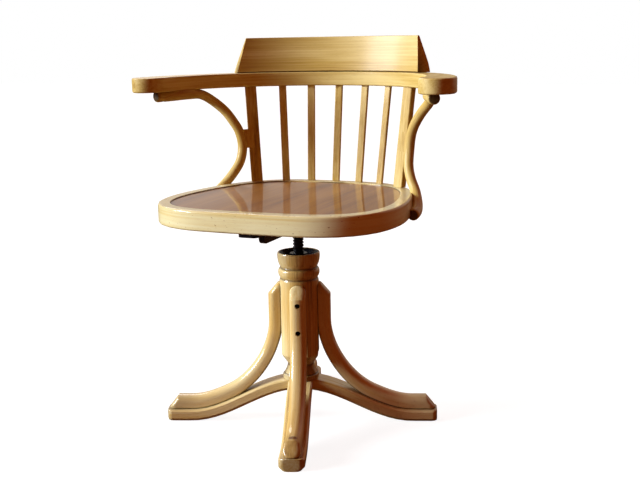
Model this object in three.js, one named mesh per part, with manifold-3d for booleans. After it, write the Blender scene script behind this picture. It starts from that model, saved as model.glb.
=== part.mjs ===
// Bentwood captain's chair on a screw: the seat, back and arms turn on an iron spindle that rises
// and falls in a turned column, and the column stands on two crossed stretchers and four bent legs.
// Millimetres, +Z up. The origin is on the floor under the spindle and the sitter faces -Y. Left and
// right are as seen from the front.

import * as THREE from 'three';
import { mergeVertices } from 'three/addons/utils/BufferGeometryUtils.js';
import Module from 'manifold-3d';

const wasm = await Module();
wasm.setup();

// Fits
const fitGap = 0.3;
const overrun = 6;
const weldDistance = 1e-4;

// Base: stretchers, legs and the angle at which the base stands under the seat
const footRadius = 260;
const baseTurn = THREE.MathUtils.degToRad(19.6);
const stretcherWidth = 46;
const stretcherThick = 22;
const stretcherTopChamfer = 3;
const stretcherFootChamfer = 6;
const stretcherCorner = 10;
const archRise = 64.5;
const footFlat = 47;
const crownFlat = 3;
const legWidth = 31;
const legThick = 26;
const legCrown = 14;
const legTopDrop = 58;
const legStraight = 72;
const legBendDropShare = 0.43;
const legBendRun = 50;
const legBevelRise = 22;
const legBevelRun = 19;
const legEndSetback = 3;
const footBevelRise = 23;
const footBevelRun = 18;
const housingDepth = 4.4;

// Column, from its foot on the stretchers to the rim of its bowl. Drops are taken from its top.
const hubClear = 36;
const shaftRadius = 37.4;
const shaftFootRadius = 37.9;
const shaftFoot = 132;
const neckRadius = 25;
const neckHeight = 113;
const footRingRadius = 34.7;
const footRingTop = 94;
const lowGrooveRadius = 35.4;
const lowGrooveDrop = 50;
const beadRadius = 39.2;
const beadDrop = 37.5;
const highGrooveRadius = 34.8;
const highGrooveDrop = 29;
const rimRadius = 40.2;
const rimDrop = 8;
const rimWall = 3.4;
const bowlDepth = 13;
const boreFloor = 150;
const boreRadius = 11.5;

// Screw: spindle and nut
const threadRadius = 10;
const spindleEase = 1.3;
const spindleFoot = 182;
const nutRadius = 17;
const nutFlangeRadius = 30;
const nutFlangeThick = 4;
const nutProud = 2.5;
const nutLength = 44;

// Seat: inner edge of the ring, ring section and panel
const seatHeight = 438;
const seatHalfWidth = 203;
const seatFront = 200;
const seatBack = 177;
const ringWidth = 22.7;
const ringHeight = 36;
const ringRound = 4;
const ringEase = 1.5;
const ledgeWidth = 9;
const panelThick = 8;
const panelDrop = 2.5;
const seatStations = 60;

// Iron seat bracket
const hubRadius = 24;
const hubDepth = 36;
const flangeWidth = 38;
const flangeThick = 7;
const flangeLap = 12;
const webThick = 11;
const webDepth = 29;
const webReach = 156;
const webEndRound = 10;

// Back and arms
const bowAboveSeat = 190;
const bowHeight = 27.5;
const bowInnerRadius = 250;
const bowCentreForward = 40;
const bowBackWidth = 28;
const armWidth = 64.7;
const armTipLength = 38;
const bowEase = 3;
const crestHeight = 68.8;
const crestCentreForward = 50;
const crestFootThick = 21;
const crestTopThick = 5;
const crestLean = 16;
const crestRound = 1.6;
const crestFootInnerHalfAngle = THREE.MathUtils.degToRad(39.2);
const crestFootOuterHalfAngle = THREE.MathUtils.degToRad(42);
const crestTopHalfAngle = THREE.MathUtils.degToRad(35);
const slatCount = 5;
const slatWidth = 15;
const slatThick = 6;
const postWidth = 23;
const postThick = 13;
const barEase = 1.2;
const tenonShoulder = 1.5;
const tenonLength = 18;
const headSetIn = 10;
const headSpacing = THREE.MathUtils.degToRad(13);
const headPostSpacing = THREE.MathUtils.degToRad(14.5);
const barSetOut = 17;
const seatArcForward = 58;
const seatSpacing = THREE.MathUtils.degToRad(11.8);
const seatPostSpacing = THREE.MathUtils.degToRad(13.6);
const postFaceShare = 0.7;

// Arm supports: round rods bent to a C, with a knob at each end
const rodRadius = 8.9;
const knobRadius = 10.4;
const knobLength = 15;
const knobTaper = 14;
const armLap = 0.6;
const supportArmInset = 25;
const supportArmSetBack = 6;
const supportWaistSide = 177;
const supportWaistBack = 130;
const supportWaistAboveSeat = 72;
const supportSeatSide = 222;
const supportSeatFront = 10;
const supportEndDrop = 30;
const spacerHeight = 38;
const spacerWidth = 10;
const spacerSetForward = 3;
const spacerAboveSeat = 87;

// Screws: head radius, head height, shank radius and length, with the heights and radii they sit at
const legScrew = { headRadius: 4.6, headHeight: 3, shankRadius: 2.4, length: 38 };
const footScrew = { headRadius: 4.6, headHeight: 3, shankRadius: 2.4, length: 34 };
const columnBolt = { headRadius: 10, headHeight: 5, shankRadius: 4, length: 66 };
const legScrewDrops = [86, 34];
const legScrewRecess = 4;
const footScrewInset = 32;
const footScrewRecess = 3;
const columnBoltRecess = 6;

// Outline shares, chosen by hand
const seatOutlineShares = [
  [0, -1], [0.305, -0.995], [0.581, -0.965], [0.788, -0.875], [0.931, -0.7], [0.995, -0.47],
  [1, -0.23], [0.963, 0.02], [0.905, 0.3], [0.815, 0.575], [0.68, 0.805], [0.478, 0.95],
  [0.236, 0.994], [0, 1],
];
const knobNoseShare = 0.72;
const knobNoseShares = [0, 0.06, 0.2, 0.6];
const supportUpperShares = [
  [1, 0, 1], [0.83, 0.22, 1], [0.66, 0.44, 1], [0.6, 0.65, 0.98], [0.5, 0.81, 0.86],
  [0.29, 0.9, 0.66], [0.14, 0.94, 0.46], [0.05, 0.98, 0.28], [0, 1, 0],
];
const supportLowerShares = [
  [0.03, 0.925, 0.72], [0.23, 0.815, 0.5], [0.52, 0.7, 0.3], [0.78, 0.49, 0.12], [0.94, 0.25, 0.03],
  [1, 0, 0],
];

// Counts of facets
const turnedSides = 36;
const legSides = 10;
const rodSides = 10;
const screwSides = 8;
const bracketSides = 4;
const legBendStations = 14;
const stretcherStations = 15;
const firstLapStation = 8;
const cornerStations = 3;
const supportStations = 36;
const bowStations = 32;
const tipStations = 7;
const crestStations = 20;

// Sizes that follow from the driving ones
const archReach = footRadius - footFlat;
const footScrewRadius = footRadius - footScrewInset;
const stretcherCrown = archRise + stretcherThick - crownFlat;
const columnFoot = stretcherCrown + fitGap;
const housingRadius = shaftRadius - housingDepth;
const legCentre = housingRadius + fitGap + legThick / 2;
const legOuter = legCentre + legThick / 2;
const ringBottom = seatHeight - ringHeight;
const ledgeTop = seatHeight - panelDrop - panelThick - fitGap;
const hubTop = ringBottom - fitGap;
const hubFoot = ringBottom - hubDepth;
const columnTop = hubFoot - hubClear;
const lowGrooveHeight = columnTop - lowGrooveDrop;
const beadHeight = columnTop - beadDrop;
const highGrooveHeight = columnTop - highGrooveDrop;
const rimHeight = columnTop - rimDrop;
const legTop = columnTop - legTopDrop;
const legBendHeight = legTop - legStraight;
const legScrewHeights = legScrewDrops.map((drop) => legTop - drop);
const bowBottom = seatHeight + bowAboveSeat;
const bowTop = bowBottom + bowHeight;
const bowBackRadius = bowInnerRadius + bowBackWidth;
const bowArmRadius = bowInnerRadius + armWidth;
const crestFoot = bowTop + fitGap;
const crestForward = bowCentreForward + crestCentreForward;
const crestFootRadius = bowInnerRadius + crestCentreForward;
const headArcRadius = bowInnerRadius + headSetIn;
const seatArcRadius = seatBack + barSetOut + seatArcForward;
const bowlFloor = columnTop - bowlDepth;
const nutFoot = columnTop - nutProud - nutLength;
const supportArmSide = bowInnerRadius + supportArmInset;
const supportArmBack = supportArmSetBack - bowCentreForward;
const supportArmHeight = bowBottom - fitGap - rodRadius + armLap;
const supportWaistHeight = seatHeight + supportWaistAboveSeat;
const supportSeatHeight = seatHeight - supportEndDrop;
const spacerCentreHeight = seatHeight + spacerAboveSeat;
const slatHalfCount = (slatCount - 1) / 2;
const headPostAngle = slatHalfCount * headSpacing + headPostSpacing;
const seatPostAngle = slatHalfCount * seatSpacing + seatPostSpacing;

const upward = new THREE.Vector3(0, 0, 1);
const legNames = ['right', 'back', 'left', 'front'];

// Solids and booleans

function solidOf(geometry) {
  const bare = geometry.clone();
  bare.deleteAttribute('normal');
  bare.deleteAttribute('uv');
  const merged = mergeVertices(bare, weldDistance);
  return new wasm.Manifold(new wasm.Mesh({
    numProp: 3,
    vertProperties: new Float32Array(merged.attributes.position.array),
    triVerts: new Uint32Array(merged.index.array),
  }));
}

function geometryOf(solid) {
  const mesh = solid.getMesh();
  const geometry = new THREE.BufferGeometry();
  geometry.setAttribute('position', new THREE.BufferAttribute(mesh.vertProperties, 3));
  geometry.setIndex(new THREE.BufferAttribute(mesh.triVerts, 1));
  return geometry;
}

function cut(body, tools) {
  const solid = tools.reduce((rest, tool) => rest.subtract(solidOf(tool)), solidOf(body));
  return geometryOf(solid);
}

function join(parts) {
  const [first, ...others] = parts.map(solidOf);
  return geometryOf(others.reduce((whole, part) => whole.add(part), first));
}

function keep(body, tool) {
  return geometryOf(solidOf(body).intersect(solidOf(tool)));
}

// A loft joins a row of rings, each a list of points in the same order. Its faces point out
// whichever way the rings run, because an inside-out loft is turned over.
function loft(rings, { closed = false, outline = null } = {}) {
  const count = rings[0].length;
  const positions = rings.flatMap((ring) => ring.flatMap((point) => [point.x, point.y, point.z]));
  const faces = [];
  const spans = closed ? rings.length : rings.length - 1;
  for (let i = 0; i < spans; i += 1) {
    const near = i * count;
    const far = ((i + 1) % rings.length) * count;
    for (let k = 0; k < count; k += 1) {
      const next = (k + 1) % count;
      faces.push([near + k, near + next, far + next], [near + k, far + next, far + k]);
    }
  }
  if (!closed) {
    const end = (rings.length - 1) * count;
    THREE.ShapeUtils.triangulateShape(outline, []).forEach(([a, b, c]) => {
      faces.push([a, c, b], [end + a, end + b, end + c]);
    });
  }
  return facesOut(positions, faces);
}

function facesOut(positions, faces) {
  const corner = (i) => new THREE.Vector3().fromArray(positions, 3 * i);
  const volume = faces.reduce((sum, [a, b, c]) => sum + corner(a).dot(corner(b).cross(corner(c))), 0);
  const outside = volume < 0 ? faces.map(([a, b, c]) => [a, c, b]) : faces;
  const geometry = new THREE.BufferGeometry();
  geometry.setAttribute('position', new THREE.Float32BufferAttribute(positions, 3));
  geometry.setIndex(outside.flat());
  return geometry;
}

// A turned solid about Z from its profile of [radius, height] points.
function turned(profile, sides = turnedSides) {
  const points = profile.map(([radius, height]) => new THREE.Vector2(radius, height));
  return new THREE.LatheGeometry(points, sides).rotateX(Math.PI / 2);
}

function rod(radius, low, high, sides = turnedSides) {
  return turned([[0, low], [radius, low], [radius, high], [0, high]], sides);
}

function box(low, high) {
  const size = new THREE.Vector3().subVectors(high, low);
  const middle = new THREE.Vector3().addVectors(low, high).divideScalar(2);
  return new THREE.BoxGeometry(size.x, size.y, size.z).translate(middle.x, middle.y, middle.z);
}

function aimed(geometry, place, direction) {
  const turn = new THREE.Quaternion().setFromUnitVectors(upward, direction.clone().normalize());
  return geometry.applyQuaternion(turn).translate(place.x, place.y, place.z);
}

// Screws lie along +Z from the top of the head. Their hole is the same form with the fit gap added.

function screwGeometry(screw) {
  const tip = screw.length - screw.shankRadius;
  return turned([
    [0, 0], [screw.headRadius, 0], [screw.headRadius, screw.headHeight / 2],
    [screw.shankRadius, screw.headHeight], [screw.shankRadius, tip], [0, screw.length],
  ], screwSides);
}

function screwHole(screw, place, direction) {
  const mouth = screw.headRadius + fitGap;
  const shank = screw.shankRadius + fitGap;
  const seat = screw.headHeight + fitGap;
  const hole = turned([
    [0, -overrun - overrun], [mouth, -overrun - overrun], [mouth, seat],
    [shank, seat], [shank, screw.length + fitGap], [0, screw.length + fitGap],
  ], screwSides);
  return aimed(hole, place, direction);
}

// Base

function arch(radius) {
  const share = Math.min(Math.abs(radius) / archReach, 1);
  return (archRise / 2) * (1 + Math.cos(Math.PI * share));
}

function archSlope(radius) {
  if (Math.abs(radius) >= archReach) return 0;
  return -((archRise * Math.PI) / (2 * archReach)) * Math.sin((Math.PI * radius) / archReach);
}

function archTop(radius) {
  return arch(radius) + stretcherThick * Math.hypot(1, archSlope(radius));
}

// Corners of the section, each as its distance from the middle and its share of the thickness. The
// lower edges are taken off further than the upper ones.
function stretcherSection(half) {
  const foot = half - stretcherFootChamfer;
  const top = half - stretcherTopChamfer;
  const footShare = stretcherFootChamfer / stretcherThick;
  const topShare = 1 - stretcherTopChamfer / stretcherThick;
  return [
    [-foot, 0], [foot, 0], [half, footShare], [half, topShare],
    [top, 1], [-top, 1], [-half, topShare], [-half, footShare],
  ];
}

function stretcherStation(i) {
  return ((footRadius - stretcherCorner) * i) / stretcherStations;
}

// One bent stretcher along X, with its corners rounded in plan.
function stretcherBlank() {
  const half = stretcherWidth / 2;
  const stations = [];
  for (let i = 0; i <= stretcherStations; i += 1) stations.push([stretcherStation(i), half]);
  for (let i = 1; i <= cornerStations; i += 1) {
    const angle = (Math.PI * i) / (2 * cornerStations);
    stations.push([
      footRadius - stretcherCorner * (1 - Math.sin(angle)),
      half - stretcherCorner * (1 - Math.cos(angle)),
    ]);
  }
  const mirrored = stations.slice(1).reverse().map(([along, width]) => [-along, width]);
  const rings = [...mirrored, ...stations].map(([along, width]) => {
    const rise = archTop(along) - arch(along);
    return stretcherSection(width)
      .map(([across, share]) => new THREE.Vector3(along, across, arch(along) + share * rise));
  });
  const outline = stretcherSection(half).map(([across, share]) => new THREE.Vector2(across, share * half));
  return loft(rings, { outline });
}

function footScrewPlace(turn) {
  return new THREE.Vector3(Math.cos(turn), Math.sin(turn), 0)
    .multiplyScalar(footScrewRadius)
    .add(new THREE.Vector3(0, 0, footScrewRecess));
}

function boltPlace() {
  return new THREE.Vector3(0, 0, archRise + columnBoltRecess);
}

// The upper stretcher is notched from below and the lower one from above, half of each.
function stretcher(upper) {
  const reach = stretcherWidth / 2 + fitGap;
  const lapHeight = archRise + stretcherThick / 2;
  const crown = box(
    new THREE.Vector3(-footRadius, -stretcherWidth, stretcherCrown),
    new THREE.Vector3(footRadius, stretcherWidth, archRise + stretcherThick + overrun),
  );
  const notch = upper
    ? box(
      new THREE.Vector3(-reach, -stretcherWidth, archRise - overrun),
      new THREE.Vector3(reach, stretcherWidth, lapHeight + fitGap / 2),
    )
    : box(
      new THREE.Vector3(-reach, -stretcherWidth, lapHeight - fitGap / 2),
      new THREE.Vector3(reach, stretcherWidth, stretcherCrown + overrun),
    );
  return cut(stretcherBlank(), [
    crown,
    notch,
    screwHole(columnBolt, boltPlace(), upward),
    screwHole(footScrew, footScrewPlace(0), upward),
    screwHole(footScrew, footScrewPlace(Math.PI), upward),
  ]);
}

// The leg's centre line in its own plane: down the column, bent, then lying on the stretcher. Over the
// lap it has the stretcher's own stations, so that the two lie face to face.
function legPath() {
  const onStretcher = (radius) => {
    const slope = archSlope(radius);
    const along = new THREE.Vector3(1, 0, slope).normalize();
    const lift = new THREE.Vector3(-along.z, 0, along.x).multiplyScalar(legThick / 2 + fitGap);
    return { centre: new THREE.Vector3(radius, 0, archTop(radius)).add(lift), along };
  };
  const down = new THREE.Vector3(0, 0, -1);
  const head = new THREE.Vector3(legCentre, 0, legTop);
  const shoulder = head.clone().setZ(legBendHeight);
  const lap = onStretcher(stretcherStation(firstLapStation));
  const bend = new THREE.CubicBezierCurve3(
    shoulder,
    shoulder.clone().lerp(new THREE.Vector3(legCentre, 0, lap.centre.z), legBendDropShare),
    lap.centre.clone().addScaledVector(lap.along, -legBendRun),
    lap.centre,
  );
  const path = [{ centre: head, along: down }];
  for (let i = 0; i < legBendStations; i += 1) {
    const share = i / legBendStations;
    path.push({ centre: bend.getPointAt(share), along: bend.getTangentAt(share) });
  }
  for (let i = firstLapStation; i <= stretcherStations; i += 1) path.push(onStretcher(stretcherStation(i)));
  path.push(onStretcher(footRadius - legEndSetback));
  return path;
}

// Oval section with a flat against the column and the stretcher. It is widest a crown's height below
// its outer face. Grown, it is the outline of the housing that it stands in.
function legSection(grow = 0) {
  const half = legWidth / 2 + grow;
  const crown = legCrown + grow;
  const middle = legThick / 2 - legCrown;
  const start = -Math.asin((middle + legThick / 2 + grow) / crown);
  return Array.from({ length: legSides + 1 }, (_, step) => {
    const angle = start + ((Math.PI - 2 * start) * step) / legSides;
    return [half * Math.cos(angle), middle + crown * Math.sin(angle)];
  });
}

function legBlank() {
  const section = legSection();
  const rings = legPath().map(({ centre, along }) => section.map(([across, out]) => new THREE.Vector3(
    centre.x - along.z * out,
    across,
    centre.z + along.x * out,
  )));
  return loft(rings, { outline: section.map(([across, out]) => new THREE.Vector2(across, out)) });
}

// A bevel takes off everything above the slanting line from [inner, high] to [outer, low].
function bevelPrism(inner, high, outer, low) {
  const slope = (low - high) / (outer - inner);
  const reach = legThick + overrun;
  const shape = new THREE.Shape([
    new THREE.Vector2(inner - reach, high - slope * reach),
    new THREE.Vector2(outer + reach, low + slope * reach),
    new THREE.Vector2(outer + reach, high - slope * reach + reach),
    new THREE.Vector2(inner - reach, high - slope * reach + reach),
  ]);
  const prism = new THREE.ExtrudeGeometry(shape, { depth: legWidth + overrun, bevelEnabled: false });
  return prism.translate(0, 0, -(legWidth + overrun) / 2).rotateX(Math.PI / 2);
}

function legScrewPlace(height) {
  return new THREE.Vector3(legOuter - legScrewRecess, 0, height);
}

const inward = new THREE.Vector3(-1, 0, 0);

function leg() {
  const footEnd = footRadius - legEndSetback;
  const footTop = stretcherThick + fitGap + legThick;
  return cut(legBlank(), [
    bevelPrism(legOuter - legBevelRun, legTop, legOuter, legTop - legBevelRise),
    bevelPrism(footEnd - footBevelRun, footTop, footEnd, footTop - footBevelRise),
    ...legScrewHeights.map((height) => screwHole(legScrew, legScrewPlace(height), inward)),
    screwHole(footScrew, footScrewPlace(0), upward),
  ]);
}

function legHousing() {
  const outline = legSection(fitGap).map(([across, out]) => new THREE.Vector2(legCentre + out, across));
  const prism = new THREE.ExtrudeGeometry(new THREE.Shape(outline), {
    depth: legTop + fitGap - neckHeight,
    bevelEnabled: false,
  });
  return prism.translate(0, 0, neckHeight);
}

// The column is turned outside and hollow above: a bowl at the head, a seat for the nut and a blind
// bore for the spindle. Each leg stands in a shallow housing.
function column() {
  const bowlRadius = rimRadius - rimWall;
  const bowlFloorRadius = nutFlangeRadius + 2 * fitGap;
  const profile = [
    [0, columnFoot],
    [footRingRadius, columnFoot],
    [footRingRadius, footRingTop],
    [(footRingRadius + neckRadius) / 2, (2 * footRingTop + neckHeight) / 3],
    [neckRadius, neckHeight],
    [shaftFootRadius, shaftFoot],
    [shaftRadius, (shaftFoot + lowGrooveHeight) / 2],
    [shaftRadius - fitGap, lowGrooveHeight - crownFlat],
    [lowGrooveRadius, lowGrooveHeight],
    [(lowGrooveRadius + 2 * beadRadius) / 3, (2 * lowGrooveHeight + beadHeight) / 3],
    [beadRadius, beadHeight],
    [(highGrooveRadius + 2 * beadRadius) / 3, (beadHeight + highGrooveHeight) / 2],
    [highGrooveRadius, highGrooveHeight],
    [(highGrooveRadius + rimRadius) / 2, (2 * highGrooveHeight + rimHeight) / 3],
    [rimRadius, rimHeight],
    [rimRadius, columnTop],
    [bowlRadius, columnTop],
    [bowlFloorRadius, bowlFloor],
    [nutRadius + fitGap, bowlFloor],
    [nutRadius + fitGap, nutFoot - fitGap],
    [boreRadius, nutFoot - fitGap],
    [boreRadius, boreFloor],
    [0, boreFloor],
  ];
  const tools = [screwHole(columnBolt, boltPlace(), upward)];
  for (let i = 0; i < legNames.length; i += 1) {
    const turn = (i * Math.PI) / 2;
    tools.push(legHousing().rotateZ(turn));
    legScrewHeights.forEach((height) => {
      tools.push(screwHole(legScrew, legScrewPlace(height), inward).rotateZ(turn));
    });
  }
  return cut(turned(profile), tools);
}

// Screw

function nut() {
  const bore = threadRadius + fitGap;
  const flangeFoot = bowlFloor + fitGap;
  const top = columnTop - nutProud;
  return turned([
    [bore, nutFoot], [nutRadius, nutFoot], [nutRadius, flangeFoot], [nutFlangeRadius, flangeFoot],
    [nutFlangeRadius, flangeFoot + nutFlangeThick], [nutRadius, flangeFoot + nutFlangeThick],
    [nutRadius, top], [bore, top], [bore, nutFoot],
  ], turnedSides / 2);
}

function spindle() {
  return turned([
    [0, spindleFoot], [threadRadius - spindleEase, spindleFoot], [threadRadius, spindleFoot + spindleEase],
    [threadRadius, hubTop - spindleEase], [threadRadius - spindleEase, hubTop], [0, hubTop],
  ], turnedSides / 2);
}

// Seat

function seatCurve() {
  const right = seatOutlineShares.map(([side, back]) => new THREE.Vector3(
    side * seatHalfWidth,
    back * (back < 0 ? seatFront : seatBack),
    0,
  ));
  const left = right.slice(1, -1).reverse().map((point) => new THREE.Vector3(-point.x, point.y, 0));
  return new THREE.CatmullRomCurve3([...right, ...left], true, 'centripetal');
}

function seatStation(share) {
  const curve = seatCurve();
  const place = curve.getPointAt(share);
  const along = curve.getTangentAt(share);
  return { place, outward: new THREE.Vector3(along.y, -along.x, 0) };
}

function seatOutline(offset) {
  const points = [];
  for (let i = 0; i < seatStations; i += 1) {
    const { place, outward } = seatStation(i / seatStations);
    points.push(place.clone().addScaledVector(outward, offset));
  }
  return points;
}

function ringSection() {
  const top = seatHeight;
  const slope = ringRound * (1 - Math.SQRT1_2);
  return [
    [-ledgeWidth, ringBottom], [ringWidth - ringRound, ringBottom],
    [ringWidth - slope, ringBottom + slope], [ringWidth, ringBottom + ringRound],
    [ringWidth, top - ringRound], [ringWidth - slope, top - slope], [ringWidth - ringRound, top],
    [ringEase, top], [0, top - ringEase], [0, ledgeTop], [-ledgeWidth, ledgeTop],
  ];
}

function seatPrism(offset, low, high) {
  const shape = new THREE.Shape(seatOutline(offset).map((point) => new THREE.Vector2(point.x, point.y)));
  return new THREE.ExtrudeGeometry(shape, { depth: high - low, bevelEnabled: false }).translate(0, 0, low);
}

function seatRing() {
  const section = ringSection();
  const rings = [];
  for (let i = 0; i < seatStations; i += 1) {
    const { place, outward } = seatStation(i / seatStations);
    rings.push(section.map(([out, height]) => place.clone().addScaledVector(outward, out).setZ(height)));
  }
  return cut(loft(rings, { closed: true }), barLines().map((line) => tenon(line, fitGap)));
}

function seatPanel() {
  return seatPrism(-fitGap, seatHeight - panelDrop - panelThick, seatHeight - panelDrop);
}

// Bracket: a hub with four ribbed arms that reach under the ring

// How far the ring's inner edge lies from the spindle to either side.
function seatSideReach() {
  return seatOutline(0).reduce((best, point) => (
    point.x > 0 && Math.abs(point.y) < Math.abs(best.y) ? point : best
  )).x;
}

function bracketArms() {
  const side = seatSideReach();
  return [
    { turn: -Math.PI / 2, ring: seatFront },
    { turn: 0, ring: side },
    { turn: Math.PI / 2, ring: seatBack },
    { turn: Math.PI, ring: side },
  ];
}

function bracketFlange(reach) {
  const half = flangeWidth / 2;
  const corner = half / 2;
  const shape = new THREE.Shape();
  shape.moveTo(0, -webThick);
  shape.lineTo(reach / 2, -webThick);
  shape.lineTo(reach - flangeWidth, -half);
  shape.lineTo(reach - corner, -half);
  shape.absarc(reach - corner, -half + corner, corner, -Math.PI / 2, 0, false);
  shape.absarc(reach - corner, half - corner, corner, 0, Math.PI / 2, false);
  shape.lineTo(reach - flangeWidth, half);
  shape.lineTo(reach / 2, webThick);
  shape.lineTo(0, webThick);
  const plate = new THREE.ExtrudeGeometry(shape, {
    depth: flangeThick,
    bevelEnabled: false,
    curveSegments: bracketSides,
  });
  return plate.translate(0, 0, hubTop - flangeThick);
}

function bracketWeb(reach) {
  const top = hubTop - flangeThick / 2;
  const foot = ringBottom - webDepth;
  const shape = new THREE.Shape();
  shape.moveTo(0, top);
  shape.lineTo(0, foot);
  shape.lineTo(reach - webEndRound, foot);
  shape.absarc(reach - webEndRound, foot + webEndRound, webEndRound, -Math.PI / 2, 0, false);
  shape.lineTo(reach, top);
  const web = new THREE.ExtrudeGeometry(shape, {
    depth: webThick,
    bevelEnabled: false,
    curveSegments: bracketSides,
  });
  return web.rotateX(Math.PI / 2).translate(0, webThick / 2, 0);
}

function seatBracket() {
  const parts = [turned([
    [0, hubFoot], [hubRadius - ringEase, hubFoot], [hubRadius, hubFoot + ringEase], [hubRadius, hubTop],
    [0, hubTop],
  ], turnedSides / 2)];
  bracketArms().forEach(({ turn, ring }) => {
    parts.push(bracketFlange(ring + flangeLap).rotateZ(turn));
    parts.push(bracketWeb((ring * webReach) / seatFront).rotateZ(turn));
  });
  const bore = rod(threadRadius + fitGap, hubFoot - overrun, hubTop + overrun, turnedSides / 2);
  return cut(join(parts), [bore]);
}

// Back: bow, crest, posts and slats

// A place on an arc whose centre lies that far in front of the spindle.
function onArc(radius, forward, angle, height) {
  return new THREE.Vector3(radius * Math.sin(angle), radius * Math.cos(angle) - forward, height);
}

// The lines of the posts and slats, from the ring's top to the bow's underside, left to right.
function barLines() {
  const lines = [];
  for (let i = -slatHalfCount - 1; i <= slatHalfCount + 1; i += 1) {
    const isPost = Math.abs(i) > slatHalfCount;
    const headAngle = isPost ? Math.sign(i) * headPostAngle : i * headSpacing;
    const seatAngle = isPost ? Math.sign(i) * seatPostAngle : i * seatSpacing;
    lines.push({
      foot: onArc(seatArcRadius, seatArcForward, seatAngle, seatHeight),
      head: onArc(headArcRadius, bowCentreForward, headAngle, bowBottom),
      face: seatAngle * (isPost ? postFaceShare : 1),
      width: isPost ? postWidth : slatWidth,
      thick: isPost ? postThick : slatThick,
    });
  }
  return lines;
}

function barFrame({ foot, head, face }) {
  const along = new THREE.Vector3().subVectors(head, foot).normalize();
  const facing = new THREE.Vector3(Math.sin(face), Math.cos(face), 0);
  const across = new THREE.Vector3().crossVectors(facing, along).normalize();
  return { along, across, through: new THREE.Vector3().crossVectors(along, across) };
}

function bar(line, shrink, extra) {
  const { foot, head } = line;
  const { along, across, through } = barFrame(line);
  const halfWidth = line.width / 2 - shrink;
  const halfThick = line.thick / 2 - shrink;
  const length = foot.distanceTo(head) + 2 * extra;
  const ease = Math.min(barEase, halfThick / 2);
  const shape = new THREE.Shape([
    new THREE.Vector2(-halfWidth + ease, -halfThick), new THREE.Vector2(halfWidth - ease, -halfThick),
    new THREE.Vector2(halfWidth, -halfThick + ease), new THREE.Vector2(halfWidth, halfThick - ease),
    new THREE.Vector2(halfWidth - ease, halfThick), new THREE.Vector2(-halfWidth + ease, halfThick),
    new THREE.Vector2(-halfWidth, halfThick - ease), new THREE.Vector2(-halfWidth, -halfThick + ease),
  ]);
  const geometry = new THREE.ExtrudeGeometry(shape, { depth: length, bevelEnabled: false });
  const start = foot.clone().addScaledVector(along, -extra);
  return geometry.applyMatrix4(new THREE.Matrix4().makeBasis(across, through, along).setPosition(start));
}

function tenon(line, grow) {
  return bar(line, tenonShoulder - grow, tenonLength + grow);
}

function backBar(line) {
  const reach = footRadius;
  const between = box(
    new THREE.Vector3(-reach, -reach, seatHeight + fitGap),
    new THREE.Vector3(reach, reach, bowBottom - fitGap),
  );
  return join([keep(bar(line, 0, overrun), between), tenon(line, 0)]);
}

function bowOutline() {
  const outer = [];
  const inner = [];
  for (let i = 0; i <= bowStations; i += 1) {
    const share = (2 * i) / bowStations - 1;
    const angle = (share * Math.PI) / 2;
    const radius = bowBackRadius + (bowArmRadius - bowBackRadius) * share * share;
    outer.push(new THREE.Vector2(radius * Math.sin(angle), radius * Math.cos(angle) - bowCentreForward));
    inner.push(new THREE.Vector2(
      -bowInnerRadius * Math.sin(angle),
      bowInnerRadius * Math.cos(angle) - bowCentreForward,
    ));
  }
  const tip = (side) => {
    const points = [];
    for (let i = 1; i < tipStations; i += 1) {
      const angle = (Math.PI * i) / tipStations;
      points.push(new THREE.Vector2(
        side * (bowInnerRadius + (armWidth / 2) * (1 + Math.cos(angle))),
        -bowCentreForward - armTipLength * Math.sin(angle),
      ));
    }
    return points;
  };
  return [...outer, ...tip(1), ...inner, ...tip(-1).reverse()];
}

function armBow() {
  const body = new THREE.ExtrudeGeometry(new THREE.Shape(bowOutline()), {
    depth: bowHeight - 2 * bowEase,
    bevelThickness: bowEase,
    bevelSize: bowEase,
    bevelOffset: -bowEase,
    bevelSegments: 2,
  }).translate(0, 0, bowBottom + bowEase);
  return cut(body, barLines().map((line) => tenon(line, fitGap)));
}

// The crest leans back: its foot sits on the bow and its ends slope in towards the top.
function crestRail() {
  const footOuter = crestFootRadius + crestFootThick;
  const topInner = crestFootRadius + crestLean;
  const section = [
    [crestFootRadius, 0, crestFootInnerHalfAngle],
    [footOuter, 0, crestFootOuterHalfAngle],
    [topInner + crestTopThick, crestHeight - crestRound, crestTopHalfAngle],
    [topInner + crestTopThick - crestRound, crestHeight, crestTopHalfAngle],
    [topInner + crestRound, crestHeight, crestTopHalfAngle],
    [topInner, crestHeight - crestRound, crestTopHalfAngle],
  ];
  const outline = section.map(([radius, rise]) => new THREE.Vector2(radius, rise));
  const rings = [];
  for (let i = 0; i <= crestStations; i += 1) {
    const share = (2 * i) / crestStations - 1;
    rings.push(section.map(([radius, rise, halfAngle]) => (
      onArc(radius, crestForward, share * halfAngle, crestFoot + rise)
    )));
  }
  return loft(rings, { outline });
}

// Arm supports

function supportCurve(side) {
  const waist = new THREE.Vector3(supportWaistSide, supportWaistBack, supportWaistHeight);
  const arm = new THREE.Vector3(supportArmSide, supportArmBack, supportArmHeight);
  const seat = new THREE.Vector3(supportSeatSide, supportSeatFront, supportSeatHeight);
  const upper = supportUpperShares.map(([out, back, rise]) => new THREE.Vector3(
    waist.x + out * (arm.x - waist.x),
    arm.y + back * (waist.y - arm.y),
    waist.z + rise * (arm.z - waist.z),
  ));
  const lower = supportLowerShares.map(([out, back, rise]) => new THREE.Vector3(
    waist.x + out * (seat.x - waist.x),
    seat.y + back * (waist.y - seat.y),
    seat.z + rise * (waist.z - seat.z),
  ));
  const points = [...upper, ...lower].map((point) => new THREE.Vector3(side * point.x, point.y, point.z));
  return new THREE.CatmullRomCurve3(points, false, 'centripetal');
}

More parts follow.
